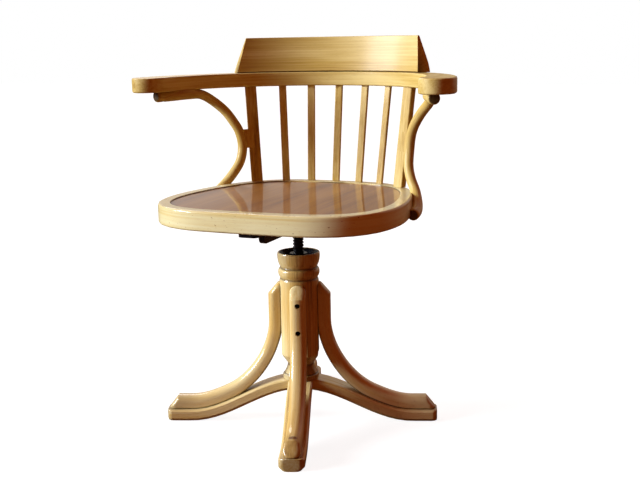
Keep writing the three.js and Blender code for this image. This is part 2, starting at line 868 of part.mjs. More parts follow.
// The rod swells to a knob at each end.
function supportRadius(fromEnd) {
  const share = THREE.MathUtils.smoothstep(fromEnd, knobLength, knobLength + knobTaper);
  const nose = Math.min((2 * fromEnd) / knobRadius, 1);
  const rounding = knobNoseShare + (1 - knobNoseShare) * Math.sqrt(nose * (2 - nose));
  return (knobRadius + (rodRadius - knobRadius) * share) * rounding;
}

function supportBlank(side, grow) {
  const curve = supportCurve(side);
  const length = curve.getLength();
  const noseShares = knobNoseShares.map((share) => (share * knobRadius) / length);
  const inner = [];
  for (let i = 1; i < supportStations; i += 1) inner.push(i / supportStations);
  const shares = [...noseShares, ...inner, ...noseShares.map((share) => 1 - share).reverse()];
  const forward = new THREE.Vector3(1, 0, 0);
  const rings = shares.map((share) => {
    const centre = curve.getPointAt(share);
    const along = curve.getTangentAt(share);
    const first = new THREE.Vector3().crossVectors(along, forward).normalize();
    const second = new THREE.Vector3().crossVectors(along, first);
    const radius = supportRadius(Math.min(share, 1 - share) * length) + grow;
    const ring = [];
    for (let k = 0; k < rodSides; k += 1) {
      const angle = (2 * Math.PI * k) / rodSides;
      ring.push(centre.clone()
        .addScaledVector(first, radius * Math.cos(angle))
        .addScaledVector(second, radius * Math.sin(angle)));
    }
    return ring;
  });
  const outline = [];
  for (let k = 0; k < rodSides; k += 1) {
    const angle = (2 * Math.PI * k) / rodSides;
    outline.push(new THREE.Vector2(Math.cos(angle), Math.sin(angle)));
  }
  return loft(rings, { outline });
}

function postLine(side) {
  const lines = barLines();
  return side < 0 ? lines[0] : lines[lines.length - 1];
}

function armSupport(side) {
  const reach = bowArmRadius;
  const arm = box(
    new THREE.Vector3(-reach, -reach, bowBottom - fitGap),
    new THREE.Vector3(reach, reach, bowTop),
  );
  return cut(supportBlank(side, 0), [
    arm,
    seatPrism(ringWidth + fitGap, ringBottom - ringHeight, seatHeight + fitGap),
  ]);
}

// The block between a post and its support: it starts inside the post and ends inside the rod, and
// both are then cut away from it.
function supportSpacer(side) {
  const line = postLine(side);
  const { across, through } = barFrame(line);
  const share = (spacerCentreHeight - seatHeight) / (bowBottom - seatHeight);
  const start = new THREE.Vector3().lerpVectors(line.foot, line.head, share);
  const rodPoint = supportCurve(side).getSpacedPoints(supportStations * supportStations)
    .reduce((best, point) => (
      Math.abs(point.z - spacerCentreHeight) < Math.abs(best.z - spacerCentreHeight) ? point : best
    ));
  const reach = new THREE.Vector3().subVectors(rodPoint, start).dot(across);
  const block = new THREE.BoxGeometry(Math.abs(reach), spacerWidth, spacerHeight);
  const middle = start.addScaledVector(across, reach / 2).addScaledVector(through, -spacerSetForward);
  const level = new THREE.Vector3().crossVectors(across, through);
  block.applyMatrix4(new THREE.Matrix4().makeBasis(across, through, level).setPosition(middle));
  return cut(block, [supportBlank(side, fitGap), bar(line, -fitGap, 0)]);
}

// Assembly

const seatWood = { color: 0xd8ad68, roughness: 0.32, metalness: 0 };
const panelWood = { color: 0xb9987a, roughness: 0.16, metalness: 0 };
const backWood = { color: 0xcf9f55, roughness: 0.32, metalness: 0 };
const baseWood = { color: 0xc38f4e, roughness: 0.36, metalness: 0 };
const iron = { color: 0x17181b, roughness: 0.5, metalness: 0.8 };
const screwSteel = { color: 0x3b3732, roughness: 0.45, metalness: 0.9 };

function node(name, geometry, finish) {
  const mesh = new THREE.Mesh(geometry, new THREE.MeshStandardMaterial(finish));
  mesh.name = name;
  return mesh;
}

function screwNode(name, screw, place, direction) {
  const mesh = node(name, screwGeometry(screw), screwSteel);
  mesh.position.copy(place);
  mesh.quaternion.setFromUnitVectors(upward, direction.clone().normalize());
  return mesh;
}

const chair = new THREE.Group();
const base = new THREE.Group();
base.rotation.z = baseTurn;
chair.add(base);

base.add(node('column', column(), baseWood));
base.add(node('stretcher_lower', stretcher(false), baseWood));
const crossing = node('stretcher_upper', stretcher(true), baseWood);
crossing.rotation.z = Math.PI / 2;
base.add(crossing);
base.add(screwNode('column_bolt', columnBolt, boltPlace(), upward));
legNames.forEach((name, i) => {
  const quarter = new THREE.Group();
  quarter.rotation.z = (i * Math.PI) / 2;
  quarter.add(node(`leg_${name}`, leg(), baseWood));
  quarter.add(screwNode(`leg_screw_${name}_low`, legScrew, legScrewPlace(legScrewHeights[0]), inward));
  quarter.add(screwNode(`leg_screw_${name}_high`, legScrew, legScrewPlace(legScrewHeights[1]), inward));
  quarter.add(screwNode(`foot_screw_${name}`, footScrew, footScrewPlace(0), upward));
  base.add(quarter);
});

chair.add(node('spindle_nut', nut(), iron));
chair.add(node('spindle', spindle(), iron));
chair.add(node('seat_bracket', seatBracket(), iron));
chair.add(node('seat_ring', seatRing(), seatWood));
chair.add(node('seat_panel', seatPanel(), panelWood));
barLines().forEach((line, i, lines) => {
  const edge = { 0: 'post_left', [lines.length - 1]: 'post_right' }[i];
  chair.add(node(edge ?? `slat_${i}`, backBar(line), backWood));
});
chair.add(node('arm_bow', armBow(), backWood));
chair.add(node('crest_rail', crestRail(), backWood));
[['left', -1], ['right', 1]].forEach(([name, side]) => {
  chair.add(node(`arm_support_${name}`, armSupport(side), backWood));
  chair.add(node(`support_spacer_${name}`, supportSpacer(side), backWood));
});

export default chair;
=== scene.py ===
import math

import bpy
import numpy as np
from mathutils import Matrix, Vector


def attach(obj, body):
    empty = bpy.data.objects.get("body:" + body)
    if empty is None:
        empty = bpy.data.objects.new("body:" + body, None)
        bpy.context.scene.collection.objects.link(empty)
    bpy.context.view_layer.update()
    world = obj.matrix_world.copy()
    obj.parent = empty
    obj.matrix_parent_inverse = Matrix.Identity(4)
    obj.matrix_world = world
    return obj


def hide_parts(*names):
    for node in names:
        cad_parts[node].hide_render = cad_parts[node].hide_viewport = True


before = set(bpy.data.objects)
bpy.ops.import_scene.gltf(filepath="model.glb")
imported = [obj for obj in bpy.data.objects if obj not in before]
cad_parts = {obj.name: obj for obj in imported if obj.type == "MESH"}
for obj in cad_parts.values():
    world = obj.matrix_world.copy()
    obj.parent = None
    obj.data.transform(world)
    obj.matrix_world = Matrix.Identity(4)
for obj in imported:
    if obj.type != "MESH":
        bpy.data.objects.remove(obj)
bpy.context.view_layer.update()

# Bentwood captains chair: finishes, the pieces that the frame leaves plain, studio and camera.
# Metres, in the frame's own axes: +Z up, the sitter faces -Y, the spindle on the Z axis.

# Base, as in the frame
BASE_TURN = math.radians(19.6)
ARCH_RISE = 0.0645
ARCH_REACH = 0.213
STRETCHER_THICK = 0.022
LEG_WIDTH = 0.031
LEG_THICK = 0.026
LEG_CROWN = 0.014
LEG_CENTRE = 0.0463
LEG_TOP = 0.272
LEG_BEND_HEIGHT = 0.200
LEG_BEND_DROP_SHARE = 0.43
LEG_BEND_RUN = 0.050
LAP_START = 0.1333
LEG_END = 0.257
GAP = 0.0003

# Seat outline, back and arms, as in the frame
SEAT_HALF_WIDTH = 0.203
SEAT_FRONT = 0.200
SEAT_BACK = 0.177
SEAT_TOP = 0.438
OUTLINE_SAMPLES = 16
SEAT_SHARES = [
    (0, -1), (0.305, -0.995), (0.581, -0.965), (0.788, -0.875), (0.931, -0.7), (0.995, -0.47),
    (1, -0.23), (0.963, 0.02), (0.905, 0.3), (0.815, 0.575), (0.68, 0.805), (0.478, 0.95),
    (0.236, 0.994), (0, 1),
]
BOW_CENTRE = Vector((0, -0.040, 0))
BOW_RADIUS = 0.264
CREST_CENTRE = Vector((0, -0.090, 0))
CREST_RADIUS = 0.310

# Crest, from its front seam round its back to its top, as distance from its centre and height
CREST_SECTION = [
    (0.3000, 0.6578), (0.3009, 0.6570), (0.3012, 0.6558), (0.3274, 0.6558), (0.3280, 0.6566),
    (0.3283, 0.6640), (0.3282, 0.6710), (0.3275, 0.6780), (0.3263, 0.6860), (0.3248, 0.6950),
    (0.3232, 0.7050), (0.3218, 0.7140), (0.3208, 0.7215), (0.3204, 0.7235), (0.3198, 0.7243),
    (0.3188, 0.7246), (0.3176, 0.7245), (0.3166, 0.7241), (0.3160, 0.7232),
]
CREST_HEEL = 4
CREST_STEPS = 72
CREST_FOOT_ANGLE = math.radians(39.2)
CREST_TOP_ANGLE = math.radians(35)

# Turned profiles, as radius and height
COLUMN_PROFILE = [
    (0.0, 0.0838), (0.0340, 0.0838), (0.0347, 0.0846), (0.0347, 0.0908), (0.0342, 0.0922),
    (0.0330, 0.0930), (0.0318, 0.0935), (0.0314, 0.0944), (0.0308, 0.0962), (0.0290, 0.0996),
    (0.0270, 0.1040), (0.0256, 0.1088), (0.0250, 0.1124), (0.0252, 0.1142), (0.0266, 0.1164),
    (0.0362, 0.1300), (0.0374, 0.1322), (0.0379, 0.1350), (0.0378, 0.1500), (0.0376, 0.2060),
    (0.0372, 0.2700), (0.0371, 0.2755), (0.0367, 0.2778), (0.0359, 0.2792), (0.0354, 0.2802),
    (0.0355, 0.2812), (0.0364, 0.2832), (0.0380, 0.2860), (0.0389, 0.2890), (0.0392, 0.2923),
    (0.0389, 0.2954), (0.0379, 0.2980), (0.0364, 0.2998), (0.0351, 0.3007), (0.0348, 0.3014),
    (0.0350, 0.3024), (0.0362, 0.3050), (0.0380, 0.3095), (0.0394, 0.3150), (0.0401, 0.3210),
    (0.0402, 0.3250), (0.0399, 0.3280), (0.0392, 0.3296), (0.0384, 0.3300), (0.0374, 0.3299),
    (0.0368, 0.3292), (0.0312, 0.3176), (0.0306, 0.3170), (0.0173, 0.3170), (0.0173, 0.2832),
    (0.0115, 0.2832), (0.0115, 0.1500), (0.0, 0.1500),
]
COLUMN_SIDES = 96
NUT_PROFILE = [
    (0.0103, 0.2835), (0.0164, 0.2835), (0.0170, 0.2841), (0.0170, 0.3173), (0.0300, 0.3173),
    (0.0308, 0.3178), (0.0364, 0.3289), (0.0362, 0.3294), (0.0355, 0.3292), (0.0303, 0.3212),
    (0.0170, 0.3213), (0.0170, 0.3266), (0.0160, 0.3275), (0.0110, 0.3275), (0.0103, 0.3268),
    (0.0103, 0.2835),
]
NUT_SIDES = 64

# Thread, as radius and height over one turn
THREAD_PITCH = 0.006
THREAD_PROFILE = [
    (0.0083, 0.0), (0.0083, 0.0007), (0.0100, 0.0017), (0.0102, 0.0021), (0.0102, 0.0039),
    (0.0100, 0.0043), (0.0083, 0.0053), (0.0083, 0.0060),
]
THREAD_SIDES = 32
THREAD_SPARE_TURNS = 2
SPINDLE_FOOT = 0.182
SPINDLE_TOP = 0.4017

# Slotted screws and the bolt, as radius and depth below the top of the head, and their places
SCREW_PROFILE = [
    (0.0, 0.0), (0.0026, 0.0001), (0.0040, 0.0005), (0.0046, 0.0012), (0.0046, 0.0017),
    (0.0024, 0.0030), (0.0024, 0.0090), (0.0, 0.0090),
]
SCREW_SIDES = 28
SLOT_WIDTH = 0.0011
SLOT_DEPTH = 0.0009
SCREW_HEIGHTS = {"low": 0.186, "high": 0.238}
LEG_SCREW_RADIUS = 0.0553
FOOT_SCREW_RADIUS = 0.228
FOOT_SCREW_HEIGHT = 0.003
BOLT_PROFILE = [
    (0.0, 0.0), (0.0080, 0.0001), (0.0096, 0.0008), (0.0100, 0.0018), (0.0100, 0.0024),
    (0.0040, 0.0050), (0.0040, 0.0120), (0.0, 0.0120),
]
BOLT_HEIGHT = 0.0705
COUNTERBORE = 0.0049
HEAD_SET = 0.0016
BORE_REACH = 0.012
BRACKET_FOOT = 0.3947
BRACKET_REACHES = [0.2088, 0.189, 0.2088, 0.212]
BRACKET_SCREW_INSET = 0.006
BRACKET_SCREW_APART = 0.021
SUPPORT_SCREW_FROM_END = 0.016
HEAD_DOWN = Matrix.Rotation(math.pi, 4, "X")
HEAD_OUTWARD = Matrix.Rotation(math.pi / 2, 4, "Y")
BRACKET_SLOT_TURN = 1.3
LEG_SLOT_TURN = 1.1
FOOT_SLOT_TURN = 0.7
SLOT_TURN_PER_METRE = 40

# Legs: ends sloped in front and rounded like a tongue, a full front and eased back corners
LEG_BEVEL_RISE = 0.022
LEG_BEVEL_RUN = 0.019
FOOT_BEVEL_RISE = 0.023
FOOT_BEVEL_RUN = 0.018
BEND_STEPS = 40
LAP_STEPS = 26
LEG_SECTION_STEPS = 26
LEG_SQUARENESS = 2.35
LEG_BACK_EASE = 0.0038
LEG_BACK_STEPS = 4
TONGUE_RADIUS = 0.0130
TONGUE_STEPS = 9
TIP_STATIONS = [0.0, 0.0003, 0.0012, 0.0027, 0.0047, 0.0074, 0.0105, 0.0130, 0.0155]
HOUSING_FOOT = 0.113

# Arm supports: the frame's line, with a rod that swells towards its ends
ROD_RADIUS = 0.0094
KNOB_RADIUS = 0.0111
KNOB_LENGTH = 0.012
KNOB_TAPER = 0.080
NOSE_SHARES = (0, 0.03, 0.09, 0.18, 0.3, 0.45)
NOSE_START = 0.62
ROD_PLAIN_FROM = 0.008
ROD_PLACES = 90
ROD_RESOLUTION = 10
SUPPORT_SAMPLES = 10
ARM_END = Vector((0.275, -0.034, 0.6194))
WAIST = Vector((0.177, 0.130, 0.510))
SEAT_END = Vector((0.222, 0.010, 0.408))
UPPER_SHARES = [
    (1, 0, 1), (0.83, 0.22, 1), (0.66, 0.44, 1), (0.6, 0.65, 0.98), (0.5, 0.81, 0.86),
    (0.29, 0.9, 0.66), (0.14, 0.94, 0.46), (0.05, 0.98, 0.28), (0, 1, 0),
]
LOWER_SHARES = [
    (0.03, 0.925, 0.72), (0.23, 0.815, 0.5), (0.52, 0.7, 0.3), (0.78, 0.49, 0.12),
    (0.94, 0.25, 0.03), (1, 0, 0),
]

# Beech: how close each pattern lies across and along the grain, and its detail
BROAD_BANDS = (22, 2.4, 2)
STREAKS = (260, 6, 4)
PORES = (1500, 130, 1)
RAYS = (520, 90, 2)
SPECKS = (230, 150, 1)
NOISE_ROUGHNESS = 0.55
BROAD_SHARE = 0.6
STREAK_SHARE = 0.4
TONE_STOPS = (0.2, 0.42, 0.60)
PORE_RANGE = (0.62, 0.74)
RAY_RANGE = (0.60, 0.72)
SPECK_RANGE = (0.70, 0.78)
PORE_WEIGHT = 0.1
RAY_WEIGHT = 0.12
FOOT_KNOT = (0.0766, -0.2121, 0.0478)
KNOT_RANGE = (0.009, 0.002)
KNOT_WEIGHT = 0.42
STREAK_HEIGHT = 0.6
PORE_DEPTH = 0.5
WOOD_BUMP = 0.08
WOOD_RELIEF = 0.0005
WOOD_SPECULAR = 0.25
WOOD_ROUGHNESS = 0.40
ROUGHNESS_SWING = 0.14
LAYER_SHARE = 0.35
GRAIN_SHIFT = (0.37, 0.61, 1.7)
SEEDS = {
    "column": 1, "stretcher_lower": 2, "stretcher_upper": 3, "leg_right": 4, "leg_back": 5,
    "leg_left": 6, "leg_front": 7, "seat_ring": 9, "seat_panel": 10, "arm_bow": 11,
    "crest_rail": 12, "post_left": 13, "slat_1": 14, "slat_2": 15, "slat_3": 16, "slat_4": 17,
    "slat_5": 18, "post_right": 19, "arm_support_left": 20, "arm_support_right": 22,
    "support_spacer_left": 23, "support_spacer_right": 24,
}

# Dust, wear and painted shade in one dark colour: where each lies, how dark, how far it reaches
DUST_AND_SHADE_COLOUR = (52, 24, 8)
DUST_AND_SHADE_WEIGHT = 0.85
# Painted shade in the column's grooves and over its neck below the legs
COLUMN_GROOVES = [0.0942, 0.1126, 0.2800, 0.3009]
GROOVE_REACH = 0.0026
NECK_TOP = 0.1164
NECK_SHADE = 0.3
# Painted shade with some dirt along the legs' laps
LAP_DIRT_AND_SHADE = 1.3
FOOT_WEAR = 0.35
FOOT_WEAR_REACH = 0.060
STRETCHER_WEAR = 0.55
STRETCHER_WEAR_REACH = 0.012
# Darker end grain with painted shade, on the rods' sawn ends
END_GRAIN_AND_SHADE_REACH = 0.0016
END_GRAIN_AND_SHADE_FADE = 0.0012
# Painted shade along the seat ring's inner lip
LIP_REACH = 0.0012
LIP_DROP = 0.0008
LIP_SHADE = 0.9
# Painted shade in the crest's seam with the bow
CREST_SEAM_RADIUS = 0.302

# Iron's fine relief
CAST_DETAIL = 3.0
CAST_BUMP = 0.2
CAST_RELIEF = 0.0004

# Work on meshes: distances, and angles in degrees
MERGE_COPY = 0.00001
MERGE_BUILT = 0.000005
MERGE_THREAD = 0.00002
RING_TOLERANCE = 0.00002
FLAT_ANGLE = 0.5
QUAD_FACE_ANGLE = 12
QUAD_SHAPE_ANGLE = 170
EASE_SEGMENTS = 2
FINE_EASE = 0.0008
SPACER_EASE = 0.0006
LEG_EASE = 0.0007
CREST_EASE = 0.0012
EASE_ANGLE = 50
LEG_EASE_ANGLE = 32
CREST_EASE_ANGLE = 45
CREASE = 35
BENT_CREASE = 32
CURVED_CREASE = 50
ROD_CREASE = 40
THREAD_CREASE = 30

# Camera, found from the photograph
CAMERA_TURN = math.radians(24.2)
CAMERA_BACK = 1.9567
CAMERA_HEIGHT = 0.7359
CAMERA_PITCH = 0.19442
CAMERA_YAW = 0.02094
CAMERA_ROLL = -0.0192
CAMERA_LENS = 59.70
SENSOR_WIDTH = 36

# Studio
WALL_DIRECTION = (-0.55, 0.83, 0.05)
WALL_FADE = (-0.25, 0.4)
WALL_LEVELS = (0.02, 0.38)
WALL_COLOUR = (1.0, 0.93, 0.84, 1.0)
ROOM_COLOUR = (1.0, 0.14, 0.006, 1.0)
ROOM_STRENGTH = 0.21
FLOOR_SIZE = 24
FLOOR_DIM = (0.14, 0.06, 0.025, 1.0)
FLOOR_PALE = 0.3
FLOOR_GLOW = 0.9
KEY_PLACE = (-8.19, -4.73, 3.26)
KEY_TINT = (0.95, 1.0, 1.06)
KEY_STRENGTH = 4.8
KEY_SPREAD = 26
REAR_PLACE = (1.0, 9.5, 0.9)
REAR_TINT = (1.0, 0.92, 0.82)
REAR_STRENGTH = 1.2
REAR_SPREAD = 40
LAMP_PLACE = (-1.6, 1.8, 2.0)
LAMP_TARGET = (0, 0, 0.5)
LAMP_SIZE = 1.2
LAMP_POWER = 22

# The legs, each with its quarter of a turn, and the bars of the back
LEGS = {"right": 0, "back": 1, "left": 2, "front": 3}
BARS = ["post_left", "slat_1", "slat_2", "slat_3", "slat_4", "slat_5", "post_right"]


# Shader maths

class Wire:
    """A socket of a material's nodes. A sum on wires adds its Math nodes."""

    def __init__(self, tree, socket):
        self.tree = tree
        self.socket = socket

    def math(self, operation, first, second):
        node = self.tree.nodes.new("ShaderNodeMath")
        node.operation = operation
        for place, value in enumerate((first, second)):
            join(self.tree, value, node.inputs[place])
        return Wire(self.tree, node.outputs[0])

    def __add__(self, other):
        return self.math("ADD", self, other)

    def __radd__(self, other):
        return self.math("ADD", other, self)

    def __sub__(self, other):
        return self.math("SUBTRACT", self, other)

    def __rsub__(self, other):
        return self.math("SUBTRACT", other, self)

    def __mul__(self, other):
        return self.math("MULTIPLY", self, other)

    def __rmul__(self, other):
        return self.math("MULTIPLY", other, self)


def join(tree, value, socket):
    if isinstance(value, Wire):
        tree.links.new(value.socket, socket)
    else:
        socket.default_value = value


class Nodes:
    """The nodes of a material or of the world."""

    def __init__(self, owner):
        self.owner = owner
        owner.use_nodes = True
        self.tree = owner.node_tree
        self.tree.nodes.clear()

    def node(self, kind, settings=None, inputs=None, output=0):
        node = self.tree.nodes.new("ShaderNode" + kind)
        for name, value in (settings or {}).items():
            if name == "stops":
                set_stops(node.color_ramp, value)
            else:
                setattr(node, name, value)
        for name, value in (inputs or {}).items():
            join(self.tree, value, node.inputs[name])
        return Wire(self.tree, node.outputs[output])

    def surface(self, shader, kind="Material"):
        output = self.tree.nodes.new("ShaderNodeOutput" + kind)
        self.tree.links.new(shader.socket, output.inputs["Surface"])
        return self.owner


def set_stops(ramp, stops):
    while len(ramp.elements) < len(stops):
        ramp.elements.new(1.0)
    for element, (place, value) in zip(ramp.elements, stops):
        element.position = place
        element.color = value


def colour(red, green, blue):
    """A colour written as it looks, 0 to 255, as the shader takes it."""
    def linear(level):
        share = level / 255
        return share / 12.92 if share <= 0.04045 else ((share + 0.055) / 1.055) ** 2.4
    return (linear(red), linear(green), linear(blue), 1.0)


def grey(level):
    return (level, level, level, 1.0)


# Finishes

def lacquered_beech(name, pale, deep, dark, coat, gloss, knot=None, specks=0.0):
    """Clear lacquer over beech. The grain attribute holds metres across, through and along the
    piece, and the darkening attribute how far dust, wear and painted shade darken it."""
    finish = Nodes(bpy.data.materials.new(name))
    place = finish.node("Attribute", {"attribute_name": "grain"}, output="Vector")

    def stretched(across, along, detail):
        vector = finish.node("Mapping", {"vector_type": "POINT"}, {
            "Vector": place, "Scale": (across, across, along),
        })
        return finish.node("TexNoise", inputs={
            "Vector": vector, "Scale": 1.0, "Detail": detail, "Roughness": NOISE_ROUGHNESS,
        })

    def above(value, low, high):
        return finish.node("MapRange", inputs={"Value": value, "From Min": low, "From Max": high})

    def mixed(share, first, second):
        return finish.node("Mix", {"data_type": "RGBA", "blend_type": "MIX"}, {
            "Factor": share, "A": first, "B": second,
        }, output="Result")

    streak = stretched(*STREAKS)
    tone = stretched(*BROAD_BANDS) * BROAD_SHARE + streak * STREAK_SHARE
    if knot:
        seen = finish.node("TexCoord", output="Object")
        away = finish.node(
            "VectorMath", {"operation": "DISTANCE"}, {0: seen, 1: knot}, output="Value")
        tone = tone - above(away, *KNOT_RANGE) * KNOT_WEIGHT
    stops = list(zip(TONE_STOPS, (colour(*dark), colour(*deep), colour(*pale))))
    body = finish.node("ValToRGB", {"stops": stops}, {"Fac": tone})
    pores = above(stretched(*PORES), *PORE_RANGE)
    rays = above(stretched(*RAYS), *RAY_RANGE)
    flecks = above(stretched(*SPECKS), *SPECK_RANGE)
    marks = rays * RAY_WEIGHT + pores * PORE_WEIGHT + flecks * specks
    # Dust, wear and painted shade darken the wood here, towards one dark colour
    dust = finish.node("Attribute", {"attribute_name": "dust"}, output="Fac")
    marked = mixed(marks, body, colour(*dark))
    bump = finish.node("Bump", inputs={
        "Strength": WOOD_BUMP,
        "Distance": WOOD_RELIEF,
        "Height": streak * STREAK_HEIGHT - pores * PORE_DEPTH,
    })
    shader = finish.node("BsdfPrincipled", inputs={
        "Base Color": mixed(dust * DUST_AND_SHADE_WEIGHT, marked, colour(*DUST_AND_SHADE_COLOUR)),
        "Roughness": streak * ROUGHNESS_SWING + WOOD_ROUGHNESS,
        "Specular IOR Level": WOOD_SPECULAR,
        "Coat Weight": coat,
        "Coat Roughness": gloss,
        "Normal": bump,
    })
    return finish.surface(shader)


def worn_metal(name, scale, detail, dark, light, low, high, rough, swing, metallic, cast=0.0):
    """Metal with worn patches, and where it is cast, a fine relief of that scale."""
    finish = Nodes(bpy.data.materials.new(name))
    place = finish.node("TexCoord", output="Object")
    worn = finish.node("TexNoise", inputs={"Vector": place, "Scale": scale, "Detail": detail})
    stops = [(low, colour(*dark)), (high, colour(*light))]
    inputs = {
        "Base Color": finish.node("ValToRGB", {"stops": stops}, {"Fac": worn}),
        "Roughness": worn * swing + rough,
        "Metallic": metallic,
    }
    if cast:
        skin = finish.node("TexNoise", inputs={
            "Vector": place, "Scale": cast, "Detail": CAST_DETAIL,
        })
        inputs["Normal"] = finish.node("Bump", inputs={
            "Strength": CAST_BUMP, "Distance": CAST_RELIEF, "Height": skin,
        })
    return finish.surface(finish.node("BsdfPrincipled", inputs=inputs))


SEAT_BEECH = lacquered_beech(
    "seat_beech", pale=(240, 233, 182), deep=(226, 205, 134), dark=(146, 96, 38),
    coat=0.7, gloss=0.12, specks=0.7)
PANEL_BEECH = lacquered_beech(
    "panel_beech", pale=(176, 124, 52), deep=(150, 98, 32), dark=(100, 56, 14),
    coat=0.6, gloss=0.05)
BACK_BEECH = lacquered_beech(
    "back_beech", pale=(222, 200, 128), deep=(196, 165, 82), dark=(120, 71, 22),
    coat=0.15, gloss=0.22)
BASE_BEECH = lacquered_beech(
    "base_beech", pale=(242, 224, 166), deep=(220, 184, 105), dark=(112, 60, 18),
    coat=0.8, gloss=0.11, knot=FOOT_KNOT)
IRON = worn_metal(
    "black_iron", scale=40.0, detail=4.0, dark=(14, 15, 20), light=(38, 40, 50),
    low=0.35, high=0.7, rough=0.16, swing=0.2, metallic=0.4, cast=260.0)
STEEL = worn_metal(
    "screw_steel", scale=900.0, detail=3.0, dark=(16, 13, 12), light=(44, 38, 36),
    low=0.4, high=0.65, rough=0.3, swing=0.3, metallic=1.0)


# Work on a mesh

def choose(piece):
    bpy.ops.object.select_all(action="DESELECT")
    piece.select_set(True)
    bpy.context.view_layer.objects.active = piece


def edit_all(piece):
    """Goes into edit mode with the whole piece selected."""
    choose(piece)
    bpy.ops.object.mode_set(mode="EDIT")
    bpy.ops.mesh.select_all(action="SELECT")


def copy_of(node, name):
    """A merged copy of a frame node, to be worked on."""
    piece = bpy.data.objects.new(name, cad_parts[node].data.copy())
    bpy.context.scene.collection.objects.link(piece)
    piece.data.materials.clear()
    edit_all(piece)
    bpy.ops.mesh.remove_doubles(threshold=MERGE_COPY)
    bpy.ops.mesh.dissolve_limited(angle_limit=math.radians(FLAT_ANGLE))
    bpy.ops.mesh.tris_convert_to_quads(
        face_threshold=math.radians(QUAD_FACE_ANGLE),
        shape_threshold=math.radians(QUAD_SHAPE_ANGLE))
    bpy.ops.object.mode_set(mode="OBJECT")
    return piece


def pick(piece, kind, wanted):
    """Goes into edit mode with only those vertices or faces selected that pass the test."""
    choose(piece)
    bpy.ops.object.mode_set(mode="EDIT")
    bpy.ops.mesh.select_mode(type=kind)
    bpy.ops.mesh.select_all(action="DESELECT")
    bpy.ops.object.mode_set(mode="OBJECT")
    parts = piece.data.vertices if kind == "VERT" else piece.data.polygons
    for part in parts:
        part.select = wanted(part)
    bpy.ops.object.mode_set(mode="EDIT")


def drawn(name, points, filled=False):
    """A line drawn point by point from one vertex, and filled where it is a section."""
    bpy.ops.object.select_all(action="DESELECT")
    bpy.ops.mesh.primitive_plane_add(size=2)
    piece = bpy.context.object
    piece.name = name
    pick(piece, "VERT", lambda vertex: vertex.index > 0)
    bpy.ops.mesh.delete(type="VERT")
    bpy.ops.mesh.select_all(action="SELECT")
    corner = Vector((-1, -1, 0))
    bpy.ops.transform.translate(value=Vector(points[0]) - corner)
    for before, after in zip(points, points[1:]):
        bpy.ops.mesh.extrude_region_move(
            TRANSFORM_OT_translate={"value": Vector(after) - Vector(before)})
    if filled:
        bpy.ops.mesh.select_all(action="SELECT")
        bpy.ops.mesh.edge_face_add()
    bpy.ops.object.mode_set(mode="OBJECT")
    return piece


def close_mesh(piece, distance=MERGE_BUILT):
    """Merges what meets and turns the faces outward."""
    edit_all(piece)
    bpy.ops.mesh.remove_doubles(threshold=distance)
    bpy.ops.mesh.normals_make_consistent(inside=False)
    bpy.ops.object.mode_set(mode="OBJECT")


def turned(name, profile, sides):
    """A profile spun once round the Z axis."""
    piece = drawn(name, [(radius, 0, height) for radius, height in profile])
    edit_all(piece)
    bpy.ops.mesh.spin(steps=sides, angle=math.tau, center=(0, 0, 0), axis=(0, 0, 1))
    bpy.ops.object.mode_set(mode="OBJECT")
    close_mesh(piece)
    return piece


def swept(name, section, path):
    """A section pulled along a path in the XZ plane and turned with it. Its points are metres
    across (Y) and out, and out is to the left of the path's direction."""
    directions = []
    for index in range(len(path)):
        before = path[max(index - 1, 0)]
        after = path[min(index + 1, len(path) - 1)]
        directions.append(math.atan2(after.y - before.y, after.x - before.x))
    first = directions[0]
    out = Vector((-math.sin(first), 0, math.cos(first)))
    start = Vector((path[0].x, 0, path[0].y))
    outline = [start + Vector((0, across, 0)) + out * lift for across, lift in section]
    piece = drawn(name, outline, filled=True)
    edit_all(piece)
    for index in range(1, len(path)):
        step = path[index] - path[index - 1]
        bpy.ops.mesh.extrude_region_move(TRANSFORM_OT_translate={"value": (step.x, 0, step.y)})
        bpy.ops.transform.rotate(
            value=directions[index] - directions[index - 1], orient_axis="Y",
            center_override=(path[index].x, 0, path[index].y))
    bpy.ops.object.mode_set(mode="OBJECT")
    close_mesh(piece)
    return piece


def sawn(piece, place, normal, wanted=lambda middle: True):
    """Cuts away what lies beyond a plane, on the wanted faces alone, and fills the cut."""
    pick(piece, "FACE", lambda face: wanted(face.center))
    bpy.ops.mesh.bisect(plane_co=place, plane_no=normal, use_fill=True, clear_outer=True)
    bpy.ops.object.mode_set(mode="OBJECT")


def carved(piece, tools):
    """Takes the tools' shapes out of the piece."""
    for tool in tools:
        hollow = piece.modifiers.new("hollow", "BOOLEAN")
        hollow.operation = "DIFFERENCE"
        hollow.solver = "EXACT"
        hollow.object = tool
        choose(piece)
        bpy.ops.object.modifier_apply(modifier="hollow")
        bpy.data.objects.remove(tool)


def prism(name, outline, push):
    """A closed outline pushed straight into a solid."""
    piece = drawn(name, outline, filled=True)
    edit_all(piece)
    bpy.ops.mesh.extrude_region_move(TRANSFORM_OT_translate={"value": push})
    bpy.ops.object.mode_set(mode="OBJECT")
    close_mesh(piece)
    return piece


def block(low, high):
    bpy.ops.object.select_all(action="DESELECT")
    middle = (Vector(low) + Vector(high)) / 2
    bpy.ops.mesh.primitive_cube_add(size=1, location=middle, scale=Vector(high) - Vector(low))
    bpy.ops.object.transform_apply(location=True, rotation=True, scale=True)
    return bpy.context.object


def moved(piece, matrix):
    piece.data.transform(matrix)
    piece.data.update()
    return piece


def twin(piece, name, matrix):
    """A copy with its own mesh, moved to its place."""
    other = bpy.data.objects.new(name, piece.data.copy())
    bpy.context.scene.collection.objects.link(other)
    return moved(other, matrix)


def ease_edges(piece, width, angle=EASE_ANGLE):
    """Rounds the edges that are sharper than the angle."""
    edges = piece.modifiers.new("edges", "BEVEL")
    edges.width = width
    edges.segments = EASE_SEGMENTS
    edges.limit_method = "ANGLE"
    edges.angle_limit = math.radians(angle)
    choose(piece)
    bpy.ops.object.modifier_apply(modifier="edges")


